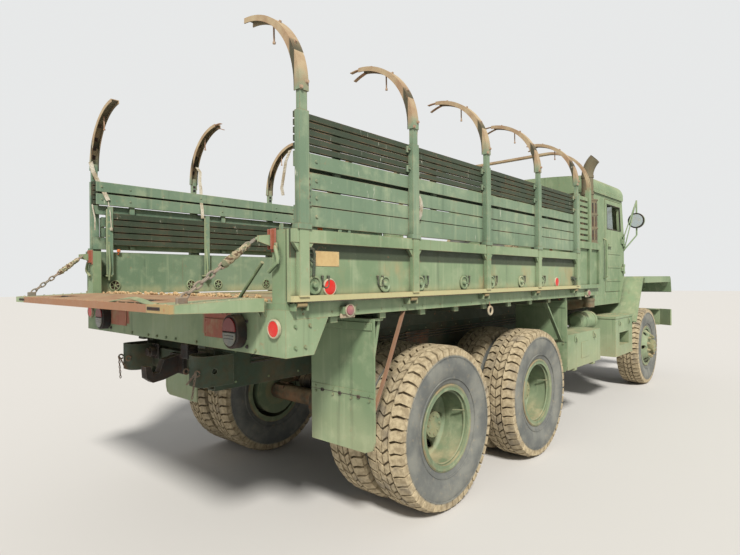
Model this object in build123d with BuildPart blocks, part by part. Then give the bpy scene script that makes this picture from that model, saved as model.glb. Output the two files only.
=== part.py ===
"""Six-by-six drop-side cargo truck at full size, in millimetres.

Frame: +X forward, +Y left, +Z up, origin on the ground below the middle of the truck.
Stations along the truck are written from the rear-most axle; the plane and block helpers
move them to the frame of the whole truck, so the dimensions below read like a drawing.
"""
import math
import os

from build123d import *

os.makedirs("parts", exist_ok=True)

# Wheelbase and wheels
WHEELBASE = 4547.0          # front axle to the middle of the rear pair
BOGIE_PITCH = 1372.0        # between the two rear axles
TYRE_R = 535.0
TYRE_W = 290.0
BEAD_R = 254.0
RIM_W = 234.0               # over the rim flanges
RIM_FLANGE_T = 8.0
BEAD_HALF = 95.0            # half the width of the tyre at its seat
FLANGE_R = 284.0
RIM_WALL = 13.0
DISC_OFFSET = 168.0         # tyre centre to the face of the disc
DISC_T = 14.0
DUAL_Y = 915.0              # where the two discs of a twin wheel meet
FRONT_TYRE_Y = 965.0
HUB_R = 115.0
DRUM_R = 205.0
SPINDLE_R = 45.0
KINGPIN_Y = 800.0
RUN_FIT = 0.3               # gap of a seat or a running fit

# Frame
RAIL_OUT = 430.0
RAIL_H = 250.0
RAIL_FLANGE = 80.0
RAIL_T = 10.0
RAIL_BOTTOM = 870.0
RAIL_REAR = -1240.0
RAIL_FRONT = 6150.0

# Cargo bed
BED_REAR = -1345.0
BED_FRONT = 2860.0
BED_HALF = 1214.0
FLOOR_TOP = 1400.0
FLOOR_T = 30.0
BEARER_H = 80.0
RUB_RAIL_H = 76.0
SIDE_H = 344.0              # height of the drop side above the floor
SIDE_T = 30.0
TOP_RAIL_H = 62.0
TOP_RAIL_D = 29.0           # how far the top rail stands out of the panel
LEDGE_H = 28.0
LEDGE_D = 24.0
GUSSET = 44.0
SIDE_FRONT = 2200.0         # front end of the drop side
RIB_W = 58.0
RIB_D = 32.0
RIB_FIRST = -1280.0
RIB_PITCH = 851.0
RIB_COUNT = 5
BAY_H = 470.0               # height of the fixed front bay above the floor
POST_W = 75.0
POST_T = 85.0

# Racks, seat slats and bows on the drop sides
STAKE_W = 59.0
STAKE_D = 35.0
STAKE_TOP = 2436.0
SOCKET_TOP = 2295.0         # top of the socket that the inner stake stands in
INNER_STAKE_W = 44.0
INNER_STAKE_D = 27.0
FOOT_H = 26.0               # flange at the foot of a stake
BOW_TOP = 2853.0
BOW_R = 454.0
BOW_W = 58.0
BOW_FOOT_Z = 2385.0
BOW_FOOT_D = 40.0           # depth of the bow end's channel at its foot and at its tip
BOW_TIP_D = 26.0
BOW_WALL = 5.0
BOW_REACH = 87.0            # degrees of arc above the spring line
BOW_BAR = 22.0              # section of the full bow

# Tailgate
GATE_L = 480.0
GATE_HALF = 1100.0
GATE_T = 65.0
GATE_TIP_T = 36.0
GATE_PIN_BACK = 20.0        # from the end of the floor to the hinge line of the gate
GATE_KNUCKLE_R = 13.0
GATE_PIN_R = 5.0
PIN_R = 8.0
KNUCKLE_R = 15.0

# Cab
CAB_REAR = 3370.0
CAB_FRONT = 4520.0
CAB_HALF = 1000.0
CAB_BOTTOM = 1180.0
CAB_BELT = 2080.0           # bottom of the windows
CAB_HEAD = 2520.0           # top of the side walls
CAB_TOP = 2765.0
CAB_WALL = 40.0
DOOR_REAR = 3765.0
DOOR_FRONT = 4445.0
DOOR_BOTTOM = 1335.0
DOOR_TOP = 2470.0
DOOR_T = 45.0
DOOR_GAP = 6.0

# Hood, fenders and bumper
HOOD_FRONT = 6100.0
HOOD_TOP_REAR = 1980.0
HOOD_TOP_FRONT = 1850.0
HOOD_HALF_REAR = 620.0
HOOD_HALF_FRONT = 520.0
HOOD_BOTTOM = 1250.0
HOOD_T = 25.0
HOOD_HINGE_Z = 1130.0
FENDER_TOP = 1510.0
FENDER_IN = 645.0
FENDER_OUT = 1215.0
FENDER_T = 24.0
BUMPER_FRONT = 6300.0
BUMPER_HALF = 1200.0
BUMPER_BOTTOM = 760.0
BUMPER_H = 250.0
LUG_REACH = 50.0

# Stations of the axles, from the rear-most one
REAR_AXLE = 0.0
MID_AXLE = BOGIE_PITCH
BOGIE_X = BOGIE_PITCH / 2
FRONT_AXLE = BOGIE_X + WHEELBASE
AXLE_Z = TYRE_R

# Ends of the whole truck set the middle of its frame
REAR_TIP = BED_REAR - GATE_PIN_BACK - GATE_L
FRONT_TIP = BUMPER_FRONT + LUG_REACH
MIDDLE = (REAR_TIP + FRONT_TIP) / 2

SIDES = (("left", 1), ("right", -1))


def side_plane(y):
    """Plane seen from the right side: local x is the station, local y is the height."""
    return Plane(origin=(-MIDDLE, y, 0), x_dir=(1, 0, 0), z_dir=(0, -1, 0))


def cross_plane(x):
    """Plane across the truck at a station: local x is Y, local y is the height."""
    return Plane(origin=(x - MIDDLE, 0, 0), x_dir=(0, 1, 0), z_dir=(1, 0, 0))


def level_plane(z):
    """Level plane: local x is the station, local y is Y."""
    return Plane(origin=(-MIDDLE, 0, z), x_dir=(1, 0, 0), z_dir=(0, 0, 1))


def wheel_plane(x, y, z):
    """Plane through a wheel's axle: local x is Y from the point, local y is the radius."""
    return Plane(origin=(x - MIDDLE, y, z), x_dir=(0, 1, 0), z_dir=(1, 0, 0))


def wheel_axis(x, z):
    return Axis((x - MIDDLE, 0, z), (0, 1, 0))


def block(x_range, y_range, z_range, mode=Mode.ADD):
    """Adds a box between two stations, two Y values and two heights to the open part."""
    x0, x1 = sorted(x_range)
    y0, y1 = sorted(y_range)
    z0, z1 = sorted(z_range)
    with Locations(((x0 + x1) / 2 - MIDDLE, (y0 + y1) / 2, (z0 + z1) / 2)):
        Box(x1 - x0, y1 - y0, z1 - z0, mode=mode)


def rod(start, end, radius, mode=Mode.ADD):
    """Adds a round bar between two points, each a station, a Y and a height."""
    p = Vector(start[0] - MIDDLE, start[1], start[2])
    q = Vector(end[0] - MIDDLE, end[1], end[2])
    with BuildSketch(Plane(origin=p, z_dir=q - p)) as section:
        Circle(radius)
    extrude(section.sketch, amount=(q - p).length, mode=mode)


def ring(x, y0, y1, z, radius, hole=0.0):
    """Adds a disc or ring about an axis along Y, between two Y values."""
    with BuildSketch(side_plane(max(y0, y1))) as section:
        with Locations((x, z)):
            Circle(radius)
            if hole:
                Circle(hole, mode=Mode.SUBTRACT)
    extrude(section.sketch, amount=abs(y1 - y0))


def prism(points, y0, y1, mode=Mode.ADD):
    """Adds a plate whose outline is in the side view, between two Y values."""
    with BuildSketch(side_plane(max(y0, y1))) as outline:
        with BuildLine():
            Polyline(*points, close=True)
        make_face()
    extrude(outline.sketch, amount=abs(y1 - y0), mode=mode)


def finish(part, label):
    """Names a finished piece and writes its STEP file."""
    part.part.label = label
    export_step(part.part, f"parts/{label}.step")


def leaf_pack(x, z, half, leaves, leaf_t, bend_r, upward, y0, y1):
    """Adds a stack of spring leaves bent about one centre; the longest leaf is at its inside."""
    turn = 1 if upward else -1
    centre_z = z + turn * bend_r
    for index in range(leaves):
        inner = bend_r + index * leaf_t
        outer = inner + leaf_t
        angle = (half - index * half / (leaves + 1.5)) / bend_r
        dx = math.sin(angle)
        dz = turn * math.cos(angle)
        with BuildSketch(side_plane(max(y0, y1))) as leaf:
            with BuildLine():
                a = (x - inner * dx, centre_z - inner * dz)
                b = (x + inner * dx, centre_z - inner * dz)
                c = (x + outer * dx, centre_z - outer * dz)
                d = (x - outer * dx, centre_z - outer * dz)
                ThreePointArc(a, (x, centre_z - turn * inner), b)
                Line(b, c)
                ThreePointArc(c, (x, centre_z - turn * outer), d)
                Line(d, a)
            make_face()
        extrude(leaf.sketch, amount=abs(y1 - y0))


def bow_end(x, side, depths, width, reach, mode):
    """Adds or cuts a bow end: a foot along the stake, then an arc that ends above the bed.

    The depths are those of its outer face, of its inner face at the foot and at the tip.
    """
    outset, foot, tip = depths
    face = BED_HALF + SIDE_T + STAKE_D
    spring = BOW_TOP - BOW_R * math.sin(math.radians(BOW_REACH))
    centre = face - BOW_R

    def point(depth, degrees):
        angle = math.radians(degrees)
        arm = BOW_R - depth
        return (side * (centre + arm * math.cos(angle)), spring + arm * math.sin(angle))

    bottom = BOW_FOOT_Z - outset / BOW_WALL
    with BuildSketch(cross_plane(x - width / 2)) as bow:
        with BuildLine():
            Line((side * (face - foot), bottom), (side * (face - outset), bottom))
            Line((side * (face - outset), bottom), point(outset, 0))
            ThreePointArc(point(outset, 0), point(outset, reach / 2), point(outset, reach))
            Line(point(outset, reach), point(tip, reach))
            ThreePointArc(point(tip, reach), point((foot + tip) / 2, reach / 2), point(foot, 0))
            Line(point(foot, 0), (side * (face - foot), bottom))
        make_face()
    extrude(bow.sketch, amount=width, mode=mode)


# Frame: two channel rails, cross members and the U-shaped rear bumperettes
BUMPERETTE_IN = RAIL_OUT - RAIL_FLANGE
BUMPERETTE_OUT = 530.0
BUMPERETTE_REAR = -1380.0
BUMPERETTE_Z = (920.0, 1090.0)
BUMPERETTE_T = 20.0
BUMPERETTE_R = 60.0
SHACKLE_R = 16.0
SHACKLE_X = -1300.0
CROSS_MEMBERS = (
    # station, bottom, top
    (-1190.0, 930.0, 1060.0),
    (-500.0, 930.0, 1060.0),
    (686.0, 930.0, 1060.0),
    (1900.0, 930.0, 1060.0),
    (2750.0, 935.0, 1060.0),
    (3500.0, 1000.0, 1090.0),
    (6000.0, 930.0, 1060.0),
)

with BuildPart() as frame_rails:
    for side in (1, -1):
        outer = side * RAIL_OUT
        inner = side * (RAIL_OUT - RAIL_FLANGE)
        web = side * (RAIL_OUT - RAIL_T)
        top = RAIL_BOTTOM + RAIL_H
        with BuildSketch(cross_plane(RAIL_REAR)):
            with BuildLine():
                Polyline(
                    (outer, RAIL_BOTTOM),
                    (outer, top),
                    (inner, top),
                    (inner, top - RAIL_T),
                    (web, top - RAIL_T),
                    (web, RAIL_BOTTOM + RAIL_T),
                    (inner, RAIL_BOTTOM + RAIL_T),
                    (inner, RAIL_BOTTOM),
                    close=True,
                )
            make_face()
        extrude(amount=RAIL_FRONT - RAIL_REAR)
        with BuildSketch(level_plane(BUMPERETTE_Z[0])):
            with BuildLine():
                Polyline(
                    (RAIL_REAR, side * BUMPERETTE_IN),
                    (BUMPERETTE_REAR, side * BUMPERETTE_IN),
                    (BUMPERETTE_REAR, side * BUMPERETTE_OUT),
                    (RAIL_REAR + 60, side * BUMPERETTE_OUT),
                    (RAIL_REAR + 60, side * RAIL_OUT),
                    (RAIL_REAR + 60 - BUMPERETTE_T, side * RAIL_OUT),
                    (RAIL_REAR + 60 - BUMPERETTE_T, side * (BUMPERETTE_OUT - BUMPERETTE_T)),
                    (BUMPERETTE_REAR + BUMPERETTE_T, side * (BUMPERETTE_OUT - BUMPERETTE_T)),
                    (BUMPERETTE_REAR + BUMPERETTE_T, side * (BUMPERETTE_IN + BUMPERETTE_T)),
                    (RAIL_REAR, side * (BUMPERETTE_IN + BUMPERETTE_T)),
                    close=True,
                )
            make_face()
        extrude(amount=BUMPERETTE_Z[1] - BUMPERETTE_Z[0])
    for inset, radius in ((0, BUMPERETTE_R), (BUMPERETTE_T, BUMPERETTE_R - BUMPERETTE_T)):
        bend_x = BUMPERETTE_REAR + inset - MIDDLE
        bends = [e for e in frame_rails.edges().filter_by(Axis.Z) if abs(e.center().X - bend_x) < 1]
        fillet(bends, radius=radius)
    for x, bottom, top in CROSS_MEMBERS:
        half_y = RAIL_OUT - RAIL_T
        block((x - 35, x + 35), (-half_y, half_y), (bottom, top))
    for side in (1, -1):
        with BuildSketch(side_plane(side * (BUMPERETTE_OUT - BUMPERETTE_T / 2) + BUMPERETTE_T)):
            with Locations((SHACKLE_X, (BUMPERETTE_Z[0] + BUMPERETTE_Z[1]) / 2)):
                Circle(SHACKLE_R)
        extrude(amount=2 * BUMPERETTE_T, mode=Mode.SUBTRACT)
finish(frame_rails, "frame_rails")

# Pintle hook on the rear cross member, open jaw upwards
HOOK_Z = 935.0
with BuildPart() as pintle_hook:
    hook_base = CROSS_MEMBERS[0][0] - 35 - RUN_FIT
    block((hook_base - 25, hook_base), (-85, 85), (HOOK_Z - 5, HOOK_Z + 115))
    prism(
        (
            (hook_base - 25, HOOK_Z),
            (hook_base - 120, HOOK_Z - 30),
            (hook_base - 190, HOOK_Z - 40),
            (hook_base - 230, HOOK_Z - 10),
            (hook_base - 235, HOOK_Z + 60),
            (hook_base - 205, HOOK_Z + 60),
            (hook_base - 190, HOOK_Z + 15),
            (hook_base - 150, HOOK_Z + 15),
            (hook_base - 120, HOOK_Z + 90),
            (hook_base - 25, HOOK_Z + 110),
        ),
        -32,
        32,
    )
finish(pintle_hook, "pintle_hook")

# Front bumper: a channel with its ends swept back, and two tow lugs
LUG_Y = 390.0
LUG_HOLE_R = 21.0
with BuildPart() as front_bumper:
    with BuildSketch(level_plane(BUMPER_BOTTOM)):
        with BuildLine():
            Polyline(
                (BUMPER_FRONT, -BUMPER_HALF + 160),
                (BUMPER_FRONT, BUMPER_HALF - 160),
                (BUMPER_FRONT - 90, BUMPER_HALF),
                (BUMPER_FRONT - 110, BUMPER_HALF - 12),
                (BUMPER_FRONT - 20, BUMPER_HALF - 175),
                (BUMPER_FRONT - 20, -BUMPER_HALF + 175),
                (BUMPER_FRONT - 110, -BUMPER_HALF + 12),
                (BUMPER_FRONT - 90, -BUMPER_HALF),
                close=True,
            )
        make_face()
    extrude(amount=BUMPER_H)
    for z in (BUMPER_BOTTOM, BUMPER_BOTTOM + BUMPER_H - 12):
        half_y = BUMPER_HALF - 175
        block((BUMPER_FRONT - 90, BUMPER_FRONT - 20), (-half_y, half_y), (z, z + 12))
    for side in (1, -1):
        y0 = side * (RAIL_OUT - RAIL_T - 60)
        block(
            (RAIL_FRONT + RUN_FIT, BUMPER_FRONT - 20),
            (y0, side * RAIL_OUT),
            (RAIL_BOTTOM, BUMPER_BOTTOM + BUMPER_H - 12),
        )
        with BuildSketch(side_plane(side * LUG_Y + 15)):
            with Locations((BUMPER_FRONT + LUG_REACH / 2, BUMPER_BOTTOM + BUMPER_H / 2)):
                Rectangle(LUG_REACH, 130)
            with Locations((BUMPER_FRONT + LUG_REACH / 2, BUMPER_BOTTOM + BUMPER_H / 2)):
                Circle(LUG_HOLE_R, mode=Mode.SUBTRACT)
        extrude(amount=30)
finish(front_bumper, "front_bumper")

# Springs: two packs under the front rails, two turned-over packs on the rear trunnion
SPRING_Y = (405.0, 485.0)
PACK_LEAVES = 6
LEAF_T = 15.0
FRONT_PACK_Z = 725.0
FRONT_PACK_HALF = 590.0
REAR_PACK_Z = 705.0
REAR_PACK_HALF = 700.0
REAR_SPRING_Y = (445.0, 555.0)
TRUNNION_R = 55.0
TRUNNION_Z = AXLE_Z + 20
FRONT_BEND_R = 1500.0
REAR_BEND_R = 2400.0
with BuildPart() as leaf_springs:
    for side in (1, -1):
        y0, y1 = (side * y for y in SPRING_Y)
        leaf_pack(
            FRONT_AXLE, FRONT_PACK_Z, FRONT_PACK_HALF, PACK_LEAVES, LEAF_T, FRONT_BEND_R, True, y0, y1
        )
        for end in (1, -1):
            eye_x = FRONT_AXLE + end * (FRONT_PACK_HALF - 25)
            block(
                (eye_x - 30, eye_x + 30),
                (y0, y1),
                (FRONT_PACK_Z + 95, RAIL_BOTTOM - RUN_FIT),
            )
        y0, y1 = (side * y for y in REAR_SPRING_Y)
        leaf_pack(BOGIE_X, REAR_PACK_Z, REAR_PACK_HALF, PACK_LEAVES, LEAF_T + 2, REAR_BEND_R, False, y0, y1)
        block((BOGIE_X - 70, BOGIE_X + 70), (y0, y1), (AXLE_Z + 30, REAR_PACK_Z + 10))
        prism(
            (
                (BOGIE_X - 160, RAIL_BOTTOM + 200),
                (BOGIE_X - 90, AXLE_Z + 30),
                (BOGIE_X + 90, AXLE_Z + 30),
                (BOGIE_X + 160, RAIL_BOTTOM + 200),
            ),
            side * (RAIL_OUT + RUN_FIT),
            side * REAR_SPRING_Y[0],
        )
    rod((BOGIE_X, -REAR_SPRING_Y[1], TRUNNION_Z), (BOGIE_X, REAR_SPRING_Y[1], TRUNNION_Z), TRUNNION_R)
finish(leaf_springs, "leaf_springs")

# Axles: a tube with a round carrier housing, stub spindles for the wheels
TUBE_R = 68.0
CARRIER_R = 180.0
CARRIER_Y = -120.0
NOSE_R = 62.0
NOSE_REACH = 230.0
NOSE_RISE = 130.0
FRONT_NOSE_RISE = 40.0
JOINT_R = 55.0
BRAKE_FACE_Y = 560.0        # inner face of a rear brake drum
REAR_SPINDLE_Y = 1040.0
YOKE_H = 95.0


def carrier(x, y, z, noses, rise):
    """Adds the round housing of an axle, with noses for the drive shafts above its middle."""
    with BuildSketch(wheel_plane(x, y, z)) as half_section:
        with BuildLine():
            Polyline(
                (-150, 0), (-150, 90), (-95, CARRIER_R), (95, CARRIER_R), (150, 90), (150, 0), close=True
            )
        make_face()
    revolve(half_section.sketch, axis=wheel_axis(x, z))
    for reach in noses:
        rod((x, y, z + rise), (x + reach, y, z + rise), NOSE_R)


SPRING_SEAT_Z = FRONT_PACK_Z - PACK_LEAVES * LEAF_T - RUN_FIT
with BuildPart() as front_axle:
    rod((FRONT_AXLE, -KINGPIN_Y + 60, AXLE_Z), (FRONT_AXLE, KINGPIN_Y - 60, AXLE_Z), TUBE_R)
    carrier(FRONT_AXLE, CARRIER_Y, AXLE_Z, (-NOSE_REACH,), FRONT_NOSE_RISE)
    for side in (1, -1):
        y0, y1 = (side * y for y in SPRING_Y)
        block((FRONT_AXLE - 75, FRONT_AXLE + 75), (y0, y1), (AXLE_Z + 20, SPRING_SEAT_Z))
        inner = side * (KINGPIN_Y - 75)
        tip = side * (KINGPIN_Y + 30)
        block((FRONT_AXLE - 35, FRONT_AXLE + 35), (inner, inner + side * 24), (AXLE_Z - 125, AXLE_Z + 125))
        for z in (AXLE_Z - 125, AXLE_Z + 97):
            block((FRONT_AXLE - 35, FRONT_AXLE + 35), (inner, tip), (z, z + 28))
        with BuildSketch(level_plane(AXLE_Z - 130)):
            with Locations((FRONT_AXLE, side * KINGPIN_Y)):
                Circle(20 + RUN_FIT)
        extrude(amount=260, mode=Mode.SUBTRACT)
finish(front_axle, "front_axle")

with BuildPart() as rear_axles:
    for x in (REAR_AXLE, MID_AXLE):
        rod((x, -BRAKE_FACE_Y - 40, AXLE_Z), (x, BRAKE_FACE_Y + 40, AXLE_Z), TUBE_R)
        rod((x, -REAR_SPINDLE_Y, AXLE_Z), (x, REAR_SPINDLE_Y, AXLE_Z), SPINDLE_R)
        reaches = (NOSE_REACH, -NOSE_REACH) if x == MID_AXLE else (NOSE_REACH,)
        carrier(x, CARRIER_Y, AXLE_Z, reaches, NOSE_RISE)
        for side in (1, -1):
            y0, y1 = (side * y for y in REAR_SPRING_Y)
            dz = math.sqrt(REAR_BEND_R ** 2 - REAR_PACK_HALF ** 2) - REAR_BEND_R
            block((x - 60, x + 60), (y0, y1), (AXLE_Z, REAR_PACK_Z + dz - RUN_FIT))
finish(rear_axles, "rear_axles")

# Engine with the radiator in front of it, then the gearboxes and drive shafts
with BuildPart() as engine:
    prism(
        (
            (4760, RAIL_BOTTOM + 30),
            (4700, 1250),
            (4760, 1640),
            (5700, 1640),
            (5780, 1500),
            (5780, RAIL_BOTTOM + 30),
        ),
        -290,
        290,
    )
    for side in (1, -1):
        block((5000, 5160), (side * 285, side * (RAIL_OUT - RAIL_T - RUN_FIT)), (980, 1090))
    block((5880, 5960), (-430, 430), (RAIL_BOTTOM + RAIL_H + RUN_FIT, 1740))
finish(engine, "engine")

TRANSFER_X = 2780.0
with BuildPart() as driveline:
    prism(((4690, 900), (4690, 1160), (4480, 1160), (3950, 1080), (3950, 900)), -190, 190)
    block((4440, 4560), (-RAIL_OUT + RAIL_T + RUN_FIT, RAIL_OUT - RAIL_T - RUN_FIT), (905, 925))
    block((TRANSFER_X - 190, TRANSFER_X + 190), (-240, 240), (690, 925))
    block(
        (TRANSFER_X - 60, TRANSFER_X + 60),
        (-RAIL_OUT + RAIL_T + RUN_FIT, RAIL_OUT - RAIL_T - RUN_FIT),
        (890, 925),
    )
    shaft_z = AXLE_Z + NOSE_RISE
    front_z = AXLE_Z + FRONT_NOSE_RISE
    reach = NOSE_REACH + JOINT_R + RUN_FIT
    shafts = (
        # start station, start Y, start height, end station, end Y, end height
        (TRANSFER_X + 180, 0, 860, 3960, 0, 990),
        (TRANSFER_X - 180, CARRIER_Y, 760, MID_AXLE + reach, CARRIER_Y, shaft_z),
        (TRANSFER_X + 180, CARRIER_Y, 740, FRONT_AXLE - reach, CARRIER_Y, front_z),
        (REAR_AXLE + reach, CARRIER_Y, shaft_z, MID_AXLE - reach, CARRIER_Y, shaft_z),
    )
    for x0, y0, z0, x1, y1, z1 in shafts:
        rod((x0, y0, z0), (x1, y1, z1), 42)
    for x, z in (
        (REAR_AXLE + reach, shaft_z),
        (MID_AXLE - reach, shaft_z),
        (MID_AXLE + reach, shaft_z),
        (FRONT_AXLE - reach, front_z),
    ):
        ring(x, CARRIER_Y - 60, CARRIER_Y + 60, z, JOINT_R)
finish(driveline, "driveline")

# Exhaust: pipe under the cab, stack behind it with a slotted shield and a curved outlet
STACK_X = 3090.0
STACK_Y = -1030.0
STACK_R = 62.0
SHIELD_R = 98.0
SHIELD_Z = (1880.0, 2380.0)
OUTLET_Z = 2640.0
OUTLET_R = 260.0
OUTLET_TURN = 48.0          # degrees that the outlet leans towards the outside
with BuildPart() as exhaust:
    rod((STACK_X, STACK_Y, 1180), (STACK_X, STACK_Y, OUTLET_Z), STACK_R)
    with BuildSketch(Plane.XY.offset(SHIELD_Z[0])):
        with Locations((STACK_X - MIDDLE, STACK_Y)):
            Circle(SHIELD_R)
            Circle(SHIELD_R - 8, mode=Mode.SUBTRACT)
    extrude(amount=SHIELD_Z[1] - SHIELD_Z[0])
    for z in (SHIELD_Z[0] + 20, SHIELD_Z[1] - 40):
        with BuildSketch(Plane.XY.offset(z)):
            with Locations((STACK_X - MIDDLE, STACK_Y)):
                Circle(SHIELD_R - 4)
        extrude(amount=20)
    with BuildLine() as outlet_path:
        bend = [
            Vector(
                STACK_X - MIDDLE,
                STACK_Y - OUTLET_R * (1 - math.cos(math.radians(turn))),
                OUTLET_Z + OUTLET_R * math.sin(math.radians(turn)),
            )
            for turn in (0, OUTLET_TURN / 2, OUTLET_TURN)
        ]
        ThreePointArc(*bend)
    with BuildSketch(Plane(origin=outlet_path.line @ 0, z_dir=outlet_path.line % 0)):
        Circle(STACK_R)
        Circle(STACK_R - 6, mode=Mode.SUBTRACT)
    sweep(path=outlet_path.line)
    rod((STACK_X, STACK_Y, 1240), (STACK_X, -620, 1150), 55)
    block((STACK_X - 30, STACK_X + 30), (-640, -RAIL_OUT - RUN_FIT), (1040, 1118))
finish(exhaust, "exhaust")

# Fuel tank on two straps from the left rail, air tank on two arms from the right one
TANK_X = (3110.0, 3690.0)
TANK_Y = (640.0, 1190.0)
TANK_Z = (480.0, 950.0)
TANK_R = 150.0
AIR_TANK_X = (3040.0, 3500.0)
AIR_TANK_Y = 900.0
AIR_TANK_Z = 1010.0
AIR_TANK_R = 105.0
AIR_TANK_NOSE = 40.0
with BuildPart() as tanks:
    with BuildSketch(cross_plane(TANK_X[0])):
        with Locations(((TANK_Y[0] + TANK_Y[1]) / 2, (TANK_Z[0] + TANK_Z[1]) / 2)):
            RectangleRounded(TANK_Y[1] - TANK_Y[0], TANK_Z[1] - TANK_Z[0], TANK_R)
    extrude(amount=TANK_X[1] - TANK_X[0])
    for x in (TANK_X[0] + 120, TANK_X[1] - 120):
        block(
            (x - 30, x + 30),
            (RAIL_OUT + RUN_FIT, TANK_Y[1] - TANK_R),
            (TANK_Z[1] - 10, TANK_Z[1] + 30),
        )
        block(
            (x - 30, x + 30),
            (RAIL_OUT + RUN_FIT, RAIL_OUT + 20),
            (TANK_Z[1] - 60, TANK_Z[1] + 100),
        )
    rod((AIR_TANK_X[0], -AIR_TANK_Y, AIR_TANK_Z), (AIR_TANK_X[1], -AIR_TANK_Y, AIR_TANK_Z), AIR_TANK_R)
    noses = [e for e in tanks.edges().filter_by(GeomType.CIRCLE) if abs(e.radius - AIR_TANK_R) < 1]
    chamfer(noses, length=AIR_TANK_NOSE)
    for x in (AIR_TANK_X[0] + 90, AIR_TANK_X[1] - 90):
        block(
            (x - 20, x + 20),
            (-RAIL_OUT - RUN_FIT, -AIR_TANK_Y),
            (AIR_TANK_Z - 25, AIR_TANK_Z + 25),
        )
finish(tanks, "tanks")

# Tool box on the right with a hinged door, battery box on the left, and the cab steps
BOX_X = (2070.0, 2985.0)
BOX_Y = (800.0, 1165.0)
BOX_Z = (620.0, 960.0)
BOX_WALL = 12.0
LID_T = 22.0
STEP_BOX_X = (3550.0, 4215.0)
STEP_BOX_Y = (780.0, 1175.0)
STEP_BOX_Z = (575.0, 1048.0)
FOOT_HOLE_X = (3700.0, 4065.0)
FOOT_HOLE_Z = (700.0, 850.0)
FOOT_HOLE_D = 110.0
with BuildPart() as tool_boxes:
    for side in (1, -1):
        y0, y1 = (side * y for y in BOX_Y)
        block(BOX_X, (y0, y1), BOX_Z)
        for x in (BOX_X[0] + 150, BOX_X[1] - 150):
            block((x - 35, x + 35), (side * (RAIL_OUT + RUN_FIT), y0), (BOX_Z[1] - 50, BOX_Z[1] - 5))
    block(STEP_BOX_X, (-STEP_BOX_Y[0], -STEP_BOX_Y[1]), STEP_BOX_Z)
    block(
        (STEP_BOX_X[0] - 8, STEP_BOX_X[1] + 8),
        (-STEP_BOX_Y[0], -STEP_BOX_Y[1] - 8),
        (STEP_BOX_Z[1] - 26, STEP_BOX_Z[1]),
    )
    block(
        FOOT_HOLE_X,
        (-STEP_BOX_Y[1] + FOOT_HOLE_D, -STEP_BOX_Y[1] - 1),
        FOOT_HOLE_Z,
        mode=Mode.SUBTRACT,
    )
    for x in (STEP_BOX_X[0] + 90, STEP_BOX_X[1] - 90):
        block(
            (x - 35, x + 35),
            (-RAIL_OUT - RUN_FIT, -STEP_BOX_Y[0]),
            (RAIL_BOTTOM + 40, RAIL_BOTTOM + 90),
        )
    block(
        (BOX_X[0] + BOX_WALL, BOX_X[1] - BOX_WALL),
        (-BOX_Y[0] - BOX_WALL, -BOX_Y[1]),
        (BOX_Z[0] + BOX_WALL, BOX_Z[1] - BOX_WALL),
        mode=Mode.SUBTRACT,
    )
    block((BOX_X[0], BOX_X[1]), (BOX_Y[1], BOX_Y[1] + LID_T), BOX_Z)
    for x in (BOX_X[0] + 200, BOX_X[1] - 200):
        rod((x - 40, -BOX_Y[1] - 12, BOX_Z[0] - 14), (x + 40, -BOX_Y[1] - 12, BOX_Z[0] - 14), 6)
        for ear in (x - 40, x + 30):
            block((ear, ear + 10), (-BOX_Y[1] - 20, -BOX_Y[1] + 20), (BOX_Z[0] - 22, BOX_Z[0] - 6))
            block((ear, ear + 10), (-BOX_Y[1] + 2, -BOX_Y[1] + 20), (BOX_Z[0] - 22, BOX_Z[0]))
finish(tool_boxes, "tool_boxes")

LID_HINGE_Y = -BOX_Y[1] - 12
LID_HINGE_Z = BOX_Z[0] - 14
with BuildPart() as toolbox_door:
    block(
        (BOX_X[0], BOX_X[1]),
        (-BOX_Y[1] - RUN_FIT, -BOX_Y[1] - LID_T),
        (BOX_Z[0] + 2, BOX_Z[1]),
    )
    for x in (BOX_X[0] + 200, BOX_X[1] - 200):
        with BuildSketch(cross_plane(x - 28)):
            with Locations((LID_HINGE_Y, LID_HINGE_Z)):
                Circle(11)
            with Locations((LID_HINGE_Y - 4, LID_HINGE_Z + 10)):
                Rectangle(12, 20)
            with Locations((LID_HINGE_Y, LID_HINGE_Z)):
                Circle(6 + RUN_FIT, mode=Mode.SUBTRACT)
        extrude(amount=56)
finish(toolbox_door, "toolbox_door")

STEP_X = (3720.0, 4205.0)
STEP_Y = 1180.0
with BuildPart() as cab_steps:
    for z, y_in in ((560.0, 960.0), (900.0, 930.0)):
        block(STEP_X, (y_in, STEP_Y), (z, z + 30))
    for x0, x1 in ((STEP_X[0], STEP_X[0] + 25), (STEP_X[1] - 25, STEP_X[1])):
        block((x0, x1), (940, 1100), (560, CAB_BOTTOM - RUN_FIT))
    for x in (STEP_X[0] + 80, STEP_X[1] - 80):
        block((x - 30, x + 30), (RAIL_OUT + RUN_FIT, 960), (905, 935))
finish(cab_steps, "cab_steps")

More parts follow.
